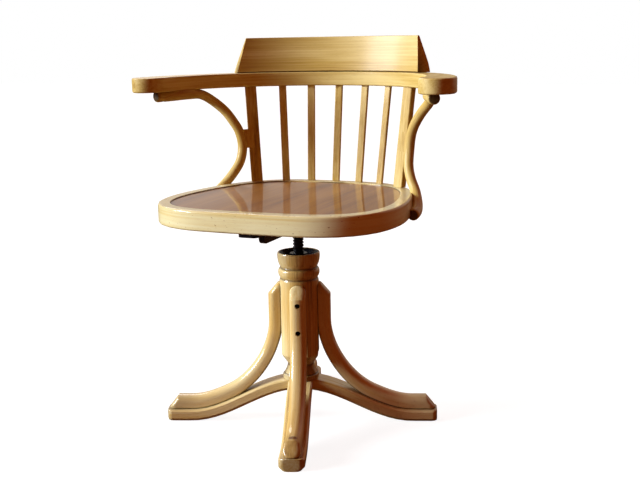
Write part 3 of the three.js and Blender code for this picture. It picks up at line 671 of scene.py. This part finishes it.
def smooth(piece, angle):
    """Smooth but for its creases, with the broad faces kept flat."""
    choose(piece)
    bpy.ops.object.shade_smooth_by_angle(angle=math.radians(angle))
    steady = piece.modifiers.new("steady", "WEIGHTED_NORMAL")
    steady.keep_sharp = True
    bpy.ops.object.modifier_apply(modifier="steady")


def points_of(mesh):
    points = np.empty(len(mesh.vertices) * 3)
    mesh.vertices.foreach_get("co", points)
    return points.reshape(-1, 3)


def lay_grain(piece, node, places, around=0.0):
    """Writes the grain attribute, shifted differently for each node. places turns an array of
    points into across, through and along. Where the piece is a closed ring, around is its
    length, and no face takes in both of its ends."""
    mesh = piece.data
    found = places(points_of(mesh))
    corners = np.empty(len(mesh.loops), dtype=np.int32)
    mesh.loops.foreach_get("vertex_index", corners)
    grain = found[corners]
    if around:
        starts = np.empty(len(mesh.polygons), dtype=np.int32)
        totals = np.empty(len(mesh.polygons), dtype=np.int32)
        mesh.polygons.foreach_get("loop_start", starts)
        mesh.polygons.foreach_get("loop_total", totals)
        first = np.repeat(grain[starts, 2], totals)
        grain[:, 2] -= around * np.round((grain[:, 2] - first) / around)
    grain = grain + np.array(GRAIN_SHIFT) * SEEDS[node]
    attribute = mesh.attributes.new("grain", "FLOAT_VECTOR", "CORNER")
    attribute.data.foreach_set("vector", grain.ravel())


def lay_dust_and_shade(piece, places):
    """Writes where dust and wear darken the wood and where shade is painted on it, from 0 to 1."""
    dust = np.clip(places(points_of(piece.data)), 0, 1)
    attribute = piece.data.attributes.new("dust", "FLOAT", "POINT")
    attribute.data.foreach_set("value", dust)


def nearest(points, path):
    """For each point, the index of the nearest place on a path."""
    gaps = ((points[:, None, :] - path[None, :, :]) ** 2).sum(axis=2)
    return gaps.argmin(axis=1)


def array_of(path):
    return np.array([place.to_tuple() for place in path])


def lengths_along(path):
    """The distance along an array of places, from the first to each."""
    steps = np.linalg.norm(np.diff(path, axis=0), axis=1)
    return np.concatenate([[0.0], np.cumsum(steps)])


# Curves

def catmull_rom(points, closed, samples):
    """Places on a centripetal curve through the points."""
    count = len(points)
    spans = count if closed else count - 1
    places = []
    for span in range(spans):
        if closed:
            before, start, end, after = (points[(span + k - 1) % count] for k in range(4))
        else:
            start, end = points[span], points[span + 1]
            before = points[span - 1] if span else start + (start - end)
            after = points[span + 2] if span + 2 < count else end + (end - start)
        pairs = ((before, start), (start, end), (end, after))
        gaps = [math.sqrt((b - a).length) for a, b in pairs]
        slope_in = (start - before) / gaps[0] - (end - before) / (gaps[0] + gaps[1])
        slope_in = (slope_in + (end - start) / gaps[1]) * gaps[1]
        slope_out = (end - start) / gaps[1] - (after - start) / (gaps[1] + gaps[2])
        slope_out = (slope_out + (after - end) / gaps[2]) * gaps[1]
        for step in range(samples):
            t = step / samples
            places.append(
                start * (2 * t ** 3 - 3 * t ** 2 + 1) + slope_in * (t ** 3 - 2 * t ** 2 + t)
                + end * (3 * t ** 2 - 2 * t ** 3) + slope_out * (t ** 3 - t ** 2))
    if not closed:
        places.append(points[-1].copy())
    return places


def seat_outline():
    right = [
        Vector((side * SEAT_HALF_WIDTH, back * (SEAT_FRONT if back < 0 else SEAT_BACK), 0))
        for side, back in SEAT_SHARES
    ]
    left = [Vector((-point.x, point.y, 0)) for point in reversed(right[1:-1])]
    return catmull_rom(right + left, True, OUTLINE_SAMPLES)


def arch(radius):
    """Height of the stretchers' underside."""
    share = min(abs(radius) / ARCH_REACH, 1)
    return ARCH_RISE / 2 * (1 + math.cos(math.pi * share))


def arch_slope(radius):
    if abs(radius) >= ARCH_REACH:
        return 0.0
    return -ARCH_RISE * math.pi / (2 * ARCH_REACH) * math.sin(math.pi * radius / ARCH_REACH)


def leg_path():
    """Centre line of a leg in its own plane, as points of (radius, height)."""
    def on_stretcher(radius):
        slope = arch_slope(radius)
        along = Vector((1, slope)).normalized()
        top = arch(radius) + STRETCHER_THICK * math.hypot(1, slope)
        return Vector((radius, top)) + Vector((-along.y, along.x)) * (LEG_THICK / 2 + GAP), along

    shoulder = Vector((LEG_CENTRE, LEG_BEND_HEIGHT))
    lap, lap_along = on_stretcher(LAP_START)
    drop = (LEG_BEND_HEIGHT - lap.y) * LEG_BEND_DROP_SHARE
    handles = (shoulder, shoulder - Vector((0, drop)), lap - lap_along * LEG_BEND_RUN, lap)
    tip = TIP_STATIONS + [LEG_BEVEL_RISE]
    places = [Vector((LEG_CENTRE, LEG_TOP - station)) for station in tip]
    for step in range(BEND_STEPS):
        t = step / BEND_STEPS
        shares = ((1 - t) ** 3, 3 * t * (1 - t) ** 2, 3 * t ** 2 * (1 - t), t ** 3)
        places.append(sum((h * s for h, s in zip(handles, shares)), Vector((0, 0))))
    bevel_start = LEG_END - FOOT_BEVEL_RUN
    for step in range(LAP_STEPS):
        reach = LAP_START + (bevel_start - LAP_START) * step / (LAP_STEPS - 1)
        places.append(on_stretcher(reach)[0])
    for station in reversed(TIP_STATIONS):
        places.append(on_stretcher(LEG_END - station)[0])
    return places


# Where the grain runs, piece by piece

def straight_grain(points):
    return points.copy()


def panel_grain(points):
    return points[:, [0, 2, 1]]


def ring_line():
    """The ring's line from the middle of the back, where its ends meet, and the lengths along
    it, of which the last is the whole length."""
    path = array_of(seat_outline())
    path = np.roll(path, len(path) // 2, axis=0)
    return path, lengths_along(np.vstack([path, path[:1]]))


def ring_grain(points):
    path, lengths = ring_line()
    flat = points * np.array([1, 1, 0])
    near = nearest(flat, path)
    out = np.linalg.norm(flat - path[near], axis=1)
    return np.stack([out, points[:, 2], lengths[near]], axis=1)


def polar_grain(centre, radius):
    def places(points):
        rel = points - np.array(centre)
        angle = np.arctan2(rel[:, 0], rel[:, 1])
        return np.stack([np.hypot(rel[:, 0], rel[:, 1]), rel[:, 2], angle * radius], axis=1)
    return places


def stretcher_grain(turn):
    def places(points):
        along = points[:, 0] * math.cos(turn) + points[:, 1] * math.sin(turn)
        across = points[:, 1] * math.cos(turn) - points[:, 0] * math.sin(turn)
        height = points[:, 2] - np.array([arch(radius) for radius in along])
        return np.stack([across, height, along], axis=1)
    return places


def leg_grain(turn):
    """Grain along the bend, with broad layers through the leg's thickness."""
    path = np.array([(place.x, 0.0, place.y) for place in leg_path()])
    lengths = lengths_along(path)
    steps = np.gradient(path, axis=0)
    steps /= np.linalg.norm(steps, axis=1)[:, None]

    def places(points):
        plane = np.stack([
            points[:, 0] * math.cos(turn) + points[:, 1] * math.sin(turn),
            np.zeros(len(points)),
            points[:, 2],
        ], axis=1)
        across = points[:, 1] * math.cos(turn) - points[:, 0] * math.sin(turn)
        near = nearest(plane, path)
        rel = plane - path[near]
        along = (rel * steps[near]).sum(axis=1)
        through = rel[:, 2] * steps[near][:, 0] - rel[:, 0] * steps[near][:, 2]
        return np.stack([across, through * LAYER_SHARE, lengths[near] + along], axis=1)
    return places


def line_grain(path):
    """Grain along any line in space, such as a bent rod."""
    line = array_of(path)
    lengths = lengths_along(line)
    steps = np.gradient(line, axis=0)
    steps /= np.linalg.norm(steps, axis=1)[:, None]

    def places(points):
        near = nearest(points, line)
        rel = points - line[near]
        along = (rel * steps[near]).sum(axis=1)
        rest = rel - steps[near] * along[:, None]
        return np.stack([rest[:, 0] + rest[:, 1], rest[:, 2], lengths[near] + along], axis=1)
    return places


# Where the wood darkens: painted shade, dirt, darker end grain and wear, piece by piece

# Painted shade in the column's grooves and over its neck below the legs.
def column_painted_shade(points):
    gaps = [np.abs(points[:, 2] - groove) for groove in COLUMN_GROOVES]
    neck = np.where(points[:, 2] < NECK_TOP, NECK_SHADE, 0)
    return np.maximum(1 - np.min(gaps, axis=0) / GROOVE_REACH, neck)


def leg_dust_and_shade(turn):
    """Painted shade with some dirt in the lap behind the leg, and wear trodden in towards the
    foot.
    """
    def places(points):
        through, along = leg_grain(turn)(points).T[1:]
        behind = -through / LAYER_SHARE - LEG_THICK / 2 + LEG_BACK_EASE
        foot = along - along.max() + FOOT_WEAR_REACH
        return np.maximum(
            behind / LEG_BACK_EASE * LAP_DIRT_AND_SHADE, foot / FOOT_WEAR_REACH * FOOT_WEAR)
    return places


def stretcher_dust(turn):
    """Worn in at both ends."""
    def places(points):
        along = np.abs(stretcher_grain(turn)(points)[:, 2])
        foot = along - along.max() + STRETCHER_WEAR_REACH
        return foot / STRETCHER_WEAR_REACH * STRETCHER_WEAR
    return places


def rod_end_grain_and_shade(path):
    """On the sawn ends of a bent rod: their darker end grain, with painted shade over it."""
    whole = lengths_along(array_of(path))[-1]

    def places(points):
        along = line_grain(path)(points)[:, 2]
        return (END_GRAIN_AND_SHADE_REACH - np.minimum(along, whole - along)) / END_GRAIN_AND_SHADE_FADE
    return places


# Painted shade along the ring's inner lip, where it meets the panel.
def ring_lip_shade(points):
    out = ring_grain(points)[:, 0]
    return np.where((out < LIP_REACH) & (points[:, 2] < SEAT_TOP - LIP_DROP), LIP_SHADE, 0)


# Painted shade along the crest's inner lower edge, in its seam with the bow.
def crest_seam_shade(points):
    radius = np.hypot(points[:, 0], points[:, 1] - CREST_CENTRE.y)
    return np.where((points[:, 2] < CREST_SECTION[0][1]) & (radius < CREST_SEAM_RADIUS), 1, 0)


# Pieces

def finished(piece, nodes, body, material, crease=CREASE):
    """Smooths a piece, gives it its material, hangs it on its body and hides the frame nodes it
    stands for.
    """
    smooth(piece, crease)
    piece.data.materials.clear()
    piece.data.materials.append(material)
    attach(piece, body)
    if nodes:
        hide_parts(*nodes)


def wooden(node, body, material, grain, ease=0.0, crease=CREASE, around=0.0, dust=None):
    """A wooden piece that keeps the frame's own shape."""
    piece = copy_of(node, node + "_wood")
    if ease:
        ease_edges(piece, ease)
    lay_grain(piece, node, grain, around)
    if dust:
        lay_dust_and_shade(piece, dust)
    finished(piece, [node], body, material, crease)


def quarter_turn(quarter):
    return BASE_TURN + quarter * math.pi / 2


def leg_section(grow=0.0):
    """Full and round in front, with eased corners at the back."""
    half = LEG_WIDTH / 2 + grow
    back = -LEG_THICK / 2 - grow
    middle = LEG_THICK / 2 - LEG_CROWN
    points = []
    for step in range(LEG_SECTION_STEPS + 1):
        angle = math.pi * step / LEG_SECTION_STEPS
        across = math.copysign(abs(math.cos(angle)) ** (2 / LEG_SQUARENESS), math.cos(angle))
        lift = abs(math.sin(angle)) ** (2 / LEG_SQUARENESS)
        points.append((half * across, middle + (LEG_CROWN + grow) * lift))
    for side, first in ((-1, math.pi), (1, -math.pi / 2)):
        for step in range(LEG_BACK_STEPS + 1):
            angle = first + math.pi / 2 * step / LEG_BACK_STEPS
            points.append((side * (half - LEG_BACK_EASE) + LEG_BACK_EASE * math.cos(angle),
                           back + LEG_BACK_EASE * (1 + math.sin(angle))))
    return points


def beyond_tongue(half, end):
    """What lies round a rounded end, as distances across and along."""
    side = -half - TONGUE_RADIUS
    points = [(side, end + TONGUE_RADIUS), (side, end - TONGUE_RADIUS)]
    for step in range(TONGUE_STEPS + 1):
        angle = math.pi - math.pi / 2 * step / TONGUE_STEPS
        points.append((TONGUE_RADIUS * (1 + math.cos(angle)) - half,
                       end - TONGUE_RADIUS * (1 - math.sin(angle))))
    return points + [(-across, along) for across, along in reversed(points)]


def top_cutter(half, end):
    start = LEG_CENTRE - LEG_THICK
    outline = [(start, across, along) for across, along in beyond_tongue(half, end)]
    return prism("top_cutter", outline, (2 * LEG_THICK, 0, 0))


def column():
    piece = turned("column_turned", COLUMN_PROFILE, COLUMN_SIDES)
    top = LEG_TOP + GAP
    housings = []
    for quarter in LEGS.values():
        housing = swept("housing", leg_section(GAP), [
            Vector((LEG_CENTRE, top)), Vector((LEG_CENTRE, HOUSING_FOOT)),
        ])
        carved(housing, [top_cutter(LEG_WIDTH / 2 + GAP, top)])
        housings.append(moved(housing, Matrix.Rotation(quarter_turn(quarter), 4, "Z")))
    carved(piece, housings)
    lay_grain(piece, "column", straight_grain)
    lay_dust_and_shade(piece, column_painted_shade)
    finished(piece, ["column"], "base", BASE_BEECH, BENT_CREASE)


def tongue_share(station):
    """The share of the leg's width that is left at a distance from its end."""
    short = max(TONGUE_RADIUS - station, 0)
    return 1 - (TONGUE_RADIUS - math.sqrt(TONGUE_RADIUS ** 2 - short ** 2)) / (LEG_WIDTH / 2)


def shave_ends(piece):
    """Slopes the front of the leg towards both ends and rounds their outline, ring by ring."""
    back = LEG_CENTRE - LEG_THICK / 2
    rest = STRETCHER_THICK + GAP
    for station in TIP_STATIONS:
        thin = 1 - LEG_BEVEL_RUN / LEG_THICK * (1 - station / LEG_BEVEL_RISE)
        height = LEG_TOP - station
        pick(piece, "VERT", lambda vertex: abs(vertex.co.z - height) < RING_TOLERANCE)
        bpy.ops.transform.resize(
            value=(thin, tongue_share(station), 1), center_override=(back, 0, height))
        bpy.ops.object.mode_set(mode="OBJECT")
        thin = 1 - FOOT_BEVEL_RISE / LEG_THICK * (1 - station / FOOT_BEVEL_RUN)
        reach = LEG_END - station
        pick(piece, "VERT", lambda vertex: abs(vertex.co.x - reach) < RING_TOLERANCE)
        bpy.ops.transform.resize(
            value=(1, tongue_share(station), thin), center_override=(reach, 0, rest))
        bpy.ops.object.mode_set(mode="OBJECT")


def screw_bore(place):
    """The hollow that a screw's head sits in, for a screw moved to the same place."""
    bore = turned("bore", [
        (0, -HEAD_SET), (COUNTERBORE, -HEAD_SET), (COUNTERBORE, BORE_REACH), (0, BORE_REACH),
    ], SCREW_SIDES)
    return moved(bore, place)


def leg_screw_place(height):
    return Matrix.Translation((LEG_SCREW_RADIUS, 0, height)) @ HEAD_OUTWARD


def legs():
    first = swept("leg_first", leg_section(), leg_path())
    shave_ends(first)
    ease_edges(first, LEG_EASE, LEG_EASE_ANGLE)
    carved(first, [screw_bore(leg_screw_place(height)) for height in SCREW_HEIGHTS.values()])
    for name, quarter in LEGS.items():
        turn = quarter_turn(quarter)
        leg = twin(first, f"leg_{name}_bent", Matrix.Rotation(turn, 4, "Z"))
        lay_grain(leg, f"leg_{name}", leg_grain(turn))
        lay_dust_and_shade(leg, leg_dust_and_shade(turn))
        finished(leg, [f"leg_{name}"], "base", BASE_BEECH, BENT_CREASE)
    bpy.data.objects.remove(first)


def slotted_screw(name, profile):
    """A countersunk screw from the top of its head down, with its slot."""
    piece = turned(name, [(radius, -depth) for radius, depth in profile], SCREW_SIDES)
    reach = max(radius for radius, depth in profile) + SLOT_WIDTH
    half = SLOT_WIDTH / 2
    carved(piece, [block((-reach, -half, -SLOT_DEPTH), (reach, half, SLOT_WIDTH))])
    return piece


def bracket_screw_places():
    """Two in the end of each of the bracket's arms, from below."""
    return [
        Matrix.Rotation(quarter * math.pi / 2, 4, "Z") @ Matrix.Translation((
            reach - BRACKET_SCREW_INSET, side * BRACKET_SCREW_APART / 2, BRACKET_FOOT,
        )) @ HEAD_DOWN
        for quarter, reach in enumerate(BRACKET_REACHES) for side in (-1, 1)
    ]


def support_screw_place(side):
    """Up through the rod's front end into the arm."""
    path = support_path(side)
    along = (path[1] - path[0]).normalized()
    place = path[0] + along * SUPPORT_SCREW_FROM_END - Vector((0, 0, KNOB_RADIUS - HEAD_SET))
    return Matrix.Translation(place) @ HEAD_DOWN


def screws():
    first = slotted_screw("screw_first", SCREW_PROFILE)
    for number, place in enumerate(bracket_screw_places(), 1):
        slot_turn = Matrix.Rotation(BRACKET_SLOT_TURN * number, 4, "Z")
        screw = twin(first, f"screw_bracket_{number}", place @ slot_turn)
        finished(screw, [], "seat", STEEL)
    for name, side in (("left", -1), ("right", 1)):
        screw = twin(first, f"screw_support_{name}", support_screw_place(side))
        finished(screw, [], "seat", STEEL)
    for number, (name, quarter) in enumerate(LEGS.items()):
        turn = Matrix.Rotation(quarter_turn(quarter), 4, "Z")
        for level, height in SCREW_HEIGHTS.items():
            slot_angle = LEG_SLOT_TURN * number + SLOT_TURN_PER_METRE * height
            place = turn @ leg_screw_place(height) @ Matrix.Rotation(slot_angle, 4, "Z")
            screw = twin(first, f"screw_{name}_{level}", place)
            finished(screw, [f"leg_screw_{name}_{level}"], "base", STEEL)
        slot_turn = Matrix.Rotation(FOOT_SLOT_TURN * number, 4, "Z")
        place = Matrix.Translation((FOOT_SCREW_RADIUS, 0, FOOT_SCREW_HEIGHT)) @ HEAD_DOWN
        screw = twin(first, f"screw_{name}_foot", turn @ place @ slot_turn)
        finished(screw, [f"foot_screw_{name}"], "base", STEEL)
    bpy.data.objects.remove(first)
    bolt = slotted_screw("bolt_slotted", BOLT_PROFILE)
    moved(bolt, Matrix.Translation((0, 0, BOLT_HEIGHT)) @ HEAD_DOWN)
    finished(bolt, ["column_bolt"], "base", STEEL)


def threaded_spindle():
    piece = drawn("spindle_threaded", [(radius, 0, height) for radius, height in THREAD_PROFILE])
    turns = math.ceil((SPINDLE_TOP - SPINDLE_FOOT) / THREAD_PITCH) + THREAD_SPARE_TURNS
    wind = piece.modifiers.new("wind", "SCREW")
    wind.axis = "Z"
    wind.angle = math.tau
    wind.screw_offset = THREAD_PITCH
    wind.iterations = turns
    wind.steps = THREAD_SIDES
    wind.render_steps = THREAD_SIDES
    choose(piece)
    bpy.ops.object.modifier_apply(modifier="wind")
    moved(piece, Matrix.Translation((0, 0, SPINDLE_FOOT - THREAD_PITCH)))
    close_mesh(piece, MERGE_THREAD)
    sawn(piece, (0, 0, SPINDLE_TOP), (0, 0, 1))
    sawn(piece, (0, 0, SPINDLE_FOOT), (0, 0, -1))
    close_mesh(piece)
    finished(piece, ["spindle"], "seat", IRON, THREAD_CREASE)


def crest_corner(side, radius, angle, height):
    out = Vector((side * radius * math.sin(angle), radius * math.cos(angle), height))
    return CREST_CENTRE + out


def crest():
    start = Matrix.Rotation(CREST_FOOT_ANGLE, 4, "Z")
    profile = [start @ Vector((0, radius, height)) for radius, height in CREST_SECTION]
    piece = drawn("crest_bent", [point + CREST_CENTRE for point in profile], filled=True)
    edit_all(piece)
    bpy.ops.mesh.spin(
        steps=CREST_STEPS, angle=2 * CREST_FOOT_ANGLE, center=CREST_CENTRE, axis=(0, 0, 1))
    bpy.ops.object.mode_set(mode="OBJECT")
    close_mesh(piece)
    inner, foot = CREST_SECTION[0]
    outer = CREST_SECTION[CREST_HEEL][0]
    front, top = CREST_SECTION[-1]
    for side in (-1, 1):
        low = crest_corner(side, inner, CREST_FOOT_ANGLE, foot)
        through = crest_corner(side, outer, CREST_FOOT_ANGLE, foot) - low
        rise = crest_corner(side, front, CREST_TOP_ANGLE, top) - low
        normal = through.cross(rise).normalized()
        if normal.x * side < 0:
            normal.negate()
        sawn(piece, low - normal * GAP, normal, lambda middle: middle.x * side > 0)
    close_mesh(piece)
    ease_edges(piece, CREST_EASE, CREST_EASE_ANGLE)
    lay_grain(piece, "crest_rail", polar_grain(CREST_CENTRE, CREST_RADIUS))
    lay_dust_and_shade(piece, crest_seam_shade)
    finished(piece, ["crest_rail"], "seat", BACK_BEECH, BENT_CREASE)


def support_path(side):
    """The line of an arm support, from under the arm back to its waist and forward to the seat."""
    upper = [
        (WAIST.x + out * (ARM_END.x - WAIST.x), ARM_END.y + back * (WAIST.y - ARM_END.y),
         WAIST.z + rise * (ARM_END.z - WAIST.z))
        for out, back, rise in UPPER_SHARES
    ]
    lower = [
        (WAIST.x + out * (SEAT_END.x - WAIST.x), SEAT_END.y + back * (WAIST.y - SEAT_END.y),
         SEAT_END.z + rise * (WAIST.z - SEAT_END.z))
        for out, back, rise in LOWER_SHARES
    ]
    points = [Vector((side * x, y, z)) for x, y, z in upper + lower]
    return catmull_rom(points, False, SUPPORT_SAMPLES)


def support_radius(from_end):
    share = min(max((from_end - KNOB_LENGTH) / KNOB_TAPER, 0), 1)
    share = share * share * (3 - 2 * share)
    nose = min(from_end / (KNOB_RADIUS * NOSE_SHARES[-1]), 1)
    rounding = NOSE_START + (1 - NOSE_START) * math.sqrt(nose * (2 - nose))
    return (KNOB_RADIUS + (ROD_RADIUS - KNOB_RADIUS) * share) * rounding


def arm_support(name, side):
    """A rod along the support's line. Its bevel is 1 deep, so a point's radius is the rod's."""
    path = support_path(side)
    line = array_of(path)
    lengths = lengths_along(line)
    total = lengths[-1]
    ends = [KNOB_RADIUS * share for share in NOSE_SHARES]
    plain = list(np.linspace(ROD_PLAIN_FROM, total - ROD_PLAIN_FROM, ROD_PLACES))
    marks = sorted(set(ends + plain + [total - end for end in ends]))
    curve = bpy.data.curves.new(name + "_line", "CURVE")
    curve.dimensions = "3D"
    curve.bevel_depth = 1.0
    curve.bevel_resolution = ROD_RESOLUTION
    curve.use_fill_caps = True
    spline = curve.splines.new("POLY")
    spline.points.add(len(marks) - 1)
    for point, mark in zip(spline.points, marks):
        place = [float(np.interp(mark, lengths, line[:, axis])) for axis in range(3)]
        point.co = (*place, 1)
        point.radius = support_radius(min(mark, total - mark))
    rod = bpy.data.objects.new(name + "_bent", curve)
    bpy.context.scene.collection.objects.link(rod)
    choose(rod)
    bpy.ops.object.convert(target="MESH")
    piece = bpy.context.object
    close_mesh(piece)
    carved(piece, [screw_bore(support_screw_place(side))])
    lay_grain(piece, name, line_grain(path))
    lay_dust_and_shade(piece, rod_end_grain_and_shade(path))
    finished(piece, [name], "seat", BACK_BEECH, ROD_CREASE)


def seat_bracket():
    piece = copy_of("seat_bracket", "seat_bracket_iron")
    ease_edges(piece, FINE_EASE)
    carved(piece, [screw_bore(place) for place in bracket_screw_places()])
    finished(piece, ["seat_bracket"], "seat", IRON)


column()
legs()
screws()
threaded_spindle()
crest()
arm_support("arm_support_left", -1)
arm_support("arm_support_right", 1)
seat_bracket()
finished(turned("nut_turned", NUT_PROFILE, NUT_SIDES), ["spindle_nut"], "nut", IRON)

for name, quarter in (("stretcher_lower", 0), ("stretcher_upper", 1)):
    turn = quarter_turn(quarter)
    wooden(name, "base", BASE_BEECH, stretcher_grain(turn),
           ease=FINE_EASE, dust=stretcher_dust(turn))
wooden("seat_ring", "seat", SEAT_BEECH, ring_grain,
       crease=CURVED_CREASE, around=ring_line()[1][-1], dust=ring_lip_shade)
wooden("seat_panel", "seat", PANEL_BEECH, panel_grain)
wooden("arm_bow", "seat", BACK_BEECH, polar_grain(BOW_CENTRE, BOW_RADIUS),
       crease=CURVED_CREASE)
for name in BARS:
    wooden(name, "seat", BACK_BEECH, straight_grain)
for name in ("support_spacer_left", "support_spacer_right"):
    wooden(name, "seat", BACK_BEECH, straight_grain, ease=SPACER_EASE)


# Studio

def backdrop():
    """White where the camera and glass look, a pale wall behind in what shines, and on the
    object a dim warm light from all round."""
    sky = Nodes(bpy.data.worlds.new("studio"))
    bpy.context.scene.world = sky.owner
    direction = sky.node("TexCoord", output="Generated")
    facing = sky.node("VectorMath", {"operation": "DOT_PRODUCT"}, {
        0: direction, 1: WALL_DIRECTION,
    }, output="Value")
    wall = sky.node("MapRange", {"interpolation_type": "SMOOTHSTEP"}, {
        "Value": facing, "From Min": WALL_FADE[0], "From Max": WALL_FADE[1],
        "To Min": WALL_LEVELS[0], "To Max": WALL_LEVELS[1],
    })
    room = sky.node("Background", inputs={"Color": ROOM_COLOUR, "Strength": ROOM_STRENGTH})
    mirrored = sky.node("Background", inputs={"Color": WALL_COLOUR, "Strength": wall})
    white = sky.node("Background", inputs={"Color": grey(1), "Strength": 1.0})
    glossy = sky.node("LightPath", output="Is Glossy Ray")
    through = sky.node("LightPath", output="Is Transmission Ray")
    seen = sky.node("LightPath", output="Is Camera Ray")
    shown = sky.node("MixShader", inputs={0: glossy, 1: room, 2: mirrored})
    sky.surface(sky.node("MixShader", inputs={0: seen + through, 1: shown, 2: white}), "World")


def pale_floor():
    bpy.ops.object.select_all(action="DESELECT")
    bpy.ops.mesh.primitive_plane_add(size=FLOOR_SIZE)
    floor = bpy.context.object
    floor.name = "floor"
    finish = Nodes(bpy.data.materials.new("floor_white"))
    rays = finish.node("LightPath", output="Is Camera Ray")
    dim = finish.node("BsdfDiffuse", inputs={"Color": FLOOR_DIM})
    pale = finish.node("BsdfDiffuse", inputs={"Color": grey(FLOOR_PALE)})
    paint = finish.node("MixShader", inputs={0: rays, 1: dim, 2: pale})
    glow = finish.node("Emission", inputs={"Color": grey(1), "Strength": rays * FLOOR_GLOW})
    both = finish.node("AddShader", inputs={0: paint, 1: glow})
    floor.data.materials.append(finish.surface(both))


def lit_from(light, place, target):
    bpy.context.scene.collection.objects.link(light)
    light.location = place
    light.rotation_euler = (Vector(target) - Vector(place)).to_track_quat("-Z", "Y").to_euler()


def window(name, place, tint, strength, spread, mirrored=True):
    """Far light, the same all over the object, as from a large window."""
    data = bpy.data.lights.new(name, "SUN")
    data.color = tint
    data.energy = strength
    data.angle = math.radians(spread)
    light = bpy.data.objects.new(name, data)
    light.visible_glossy = mirrored
    lit_from(light, place, (0, 0, 0))


def lamp(name, place, target, size, power):
    """A square panel of light."""
    data = bpy.data.lights.new(name, "AREA")
    data.size = size
    data.energy = power
    lit_from(bpy.data.objects.new(name, data), place, target)


def camera():
    pitch, yaw, roll = CAMERA_PITCH, CAMERA_YAW, CAMERA_ROLL
    level = math.cos(pitch)
    ahead = Vector((math.sin(yaw) * level, math.cos(yaw) * level, -math.sin(pitch)))
    side = Vector((math.cos(yaw), -math.sin(yaw), 0))
    up = side.cross(ahead)
    rolled_side = side * math.cos(roll) + up * math.sin(roll)
    rolled_up = up * math.cos(roll) - side * math.sin(roll)
    aim = Matrix((rolled_side, rolled_up, -ahead)).transposed().to_4x4()
    data = bpy.data.cameras.new("camera")
    data.lens = CAMERA_LENS
    data.sensor_width = SENSOR_WIDTH
    data.sensor_fit = "HORIZONTAL"
    view = bpy.data.objects.new("camera", data)
    bpy.context.scene.collection.objects.link(view)
    stand = Matrix.Translation((0, -CAMERA_BACK, CAMERA_HEIGHT)) @ aim
    view.matrix_world = Matrix.Rotation(CAMERA_TURN, 4, "Z") @ stand
    bpy.context.scene.camera = view


backdrop()
pale_floor()
window("key", KEY_PLACE, KEY_TINT, KEY_STRENGTH, KEY_SPREAD)
window("rear", REAR_PLACE, REAR_TINT, REAR_STRENGTH, REAR_SPREAD, mirrored=False)
lamp("back", LAMP_PLACE, LAMP_TARGET, LAMP_SIZE, LAMP_POWER)
camera()
bpy.context.scene.view_settings.view_transform = "Standard"
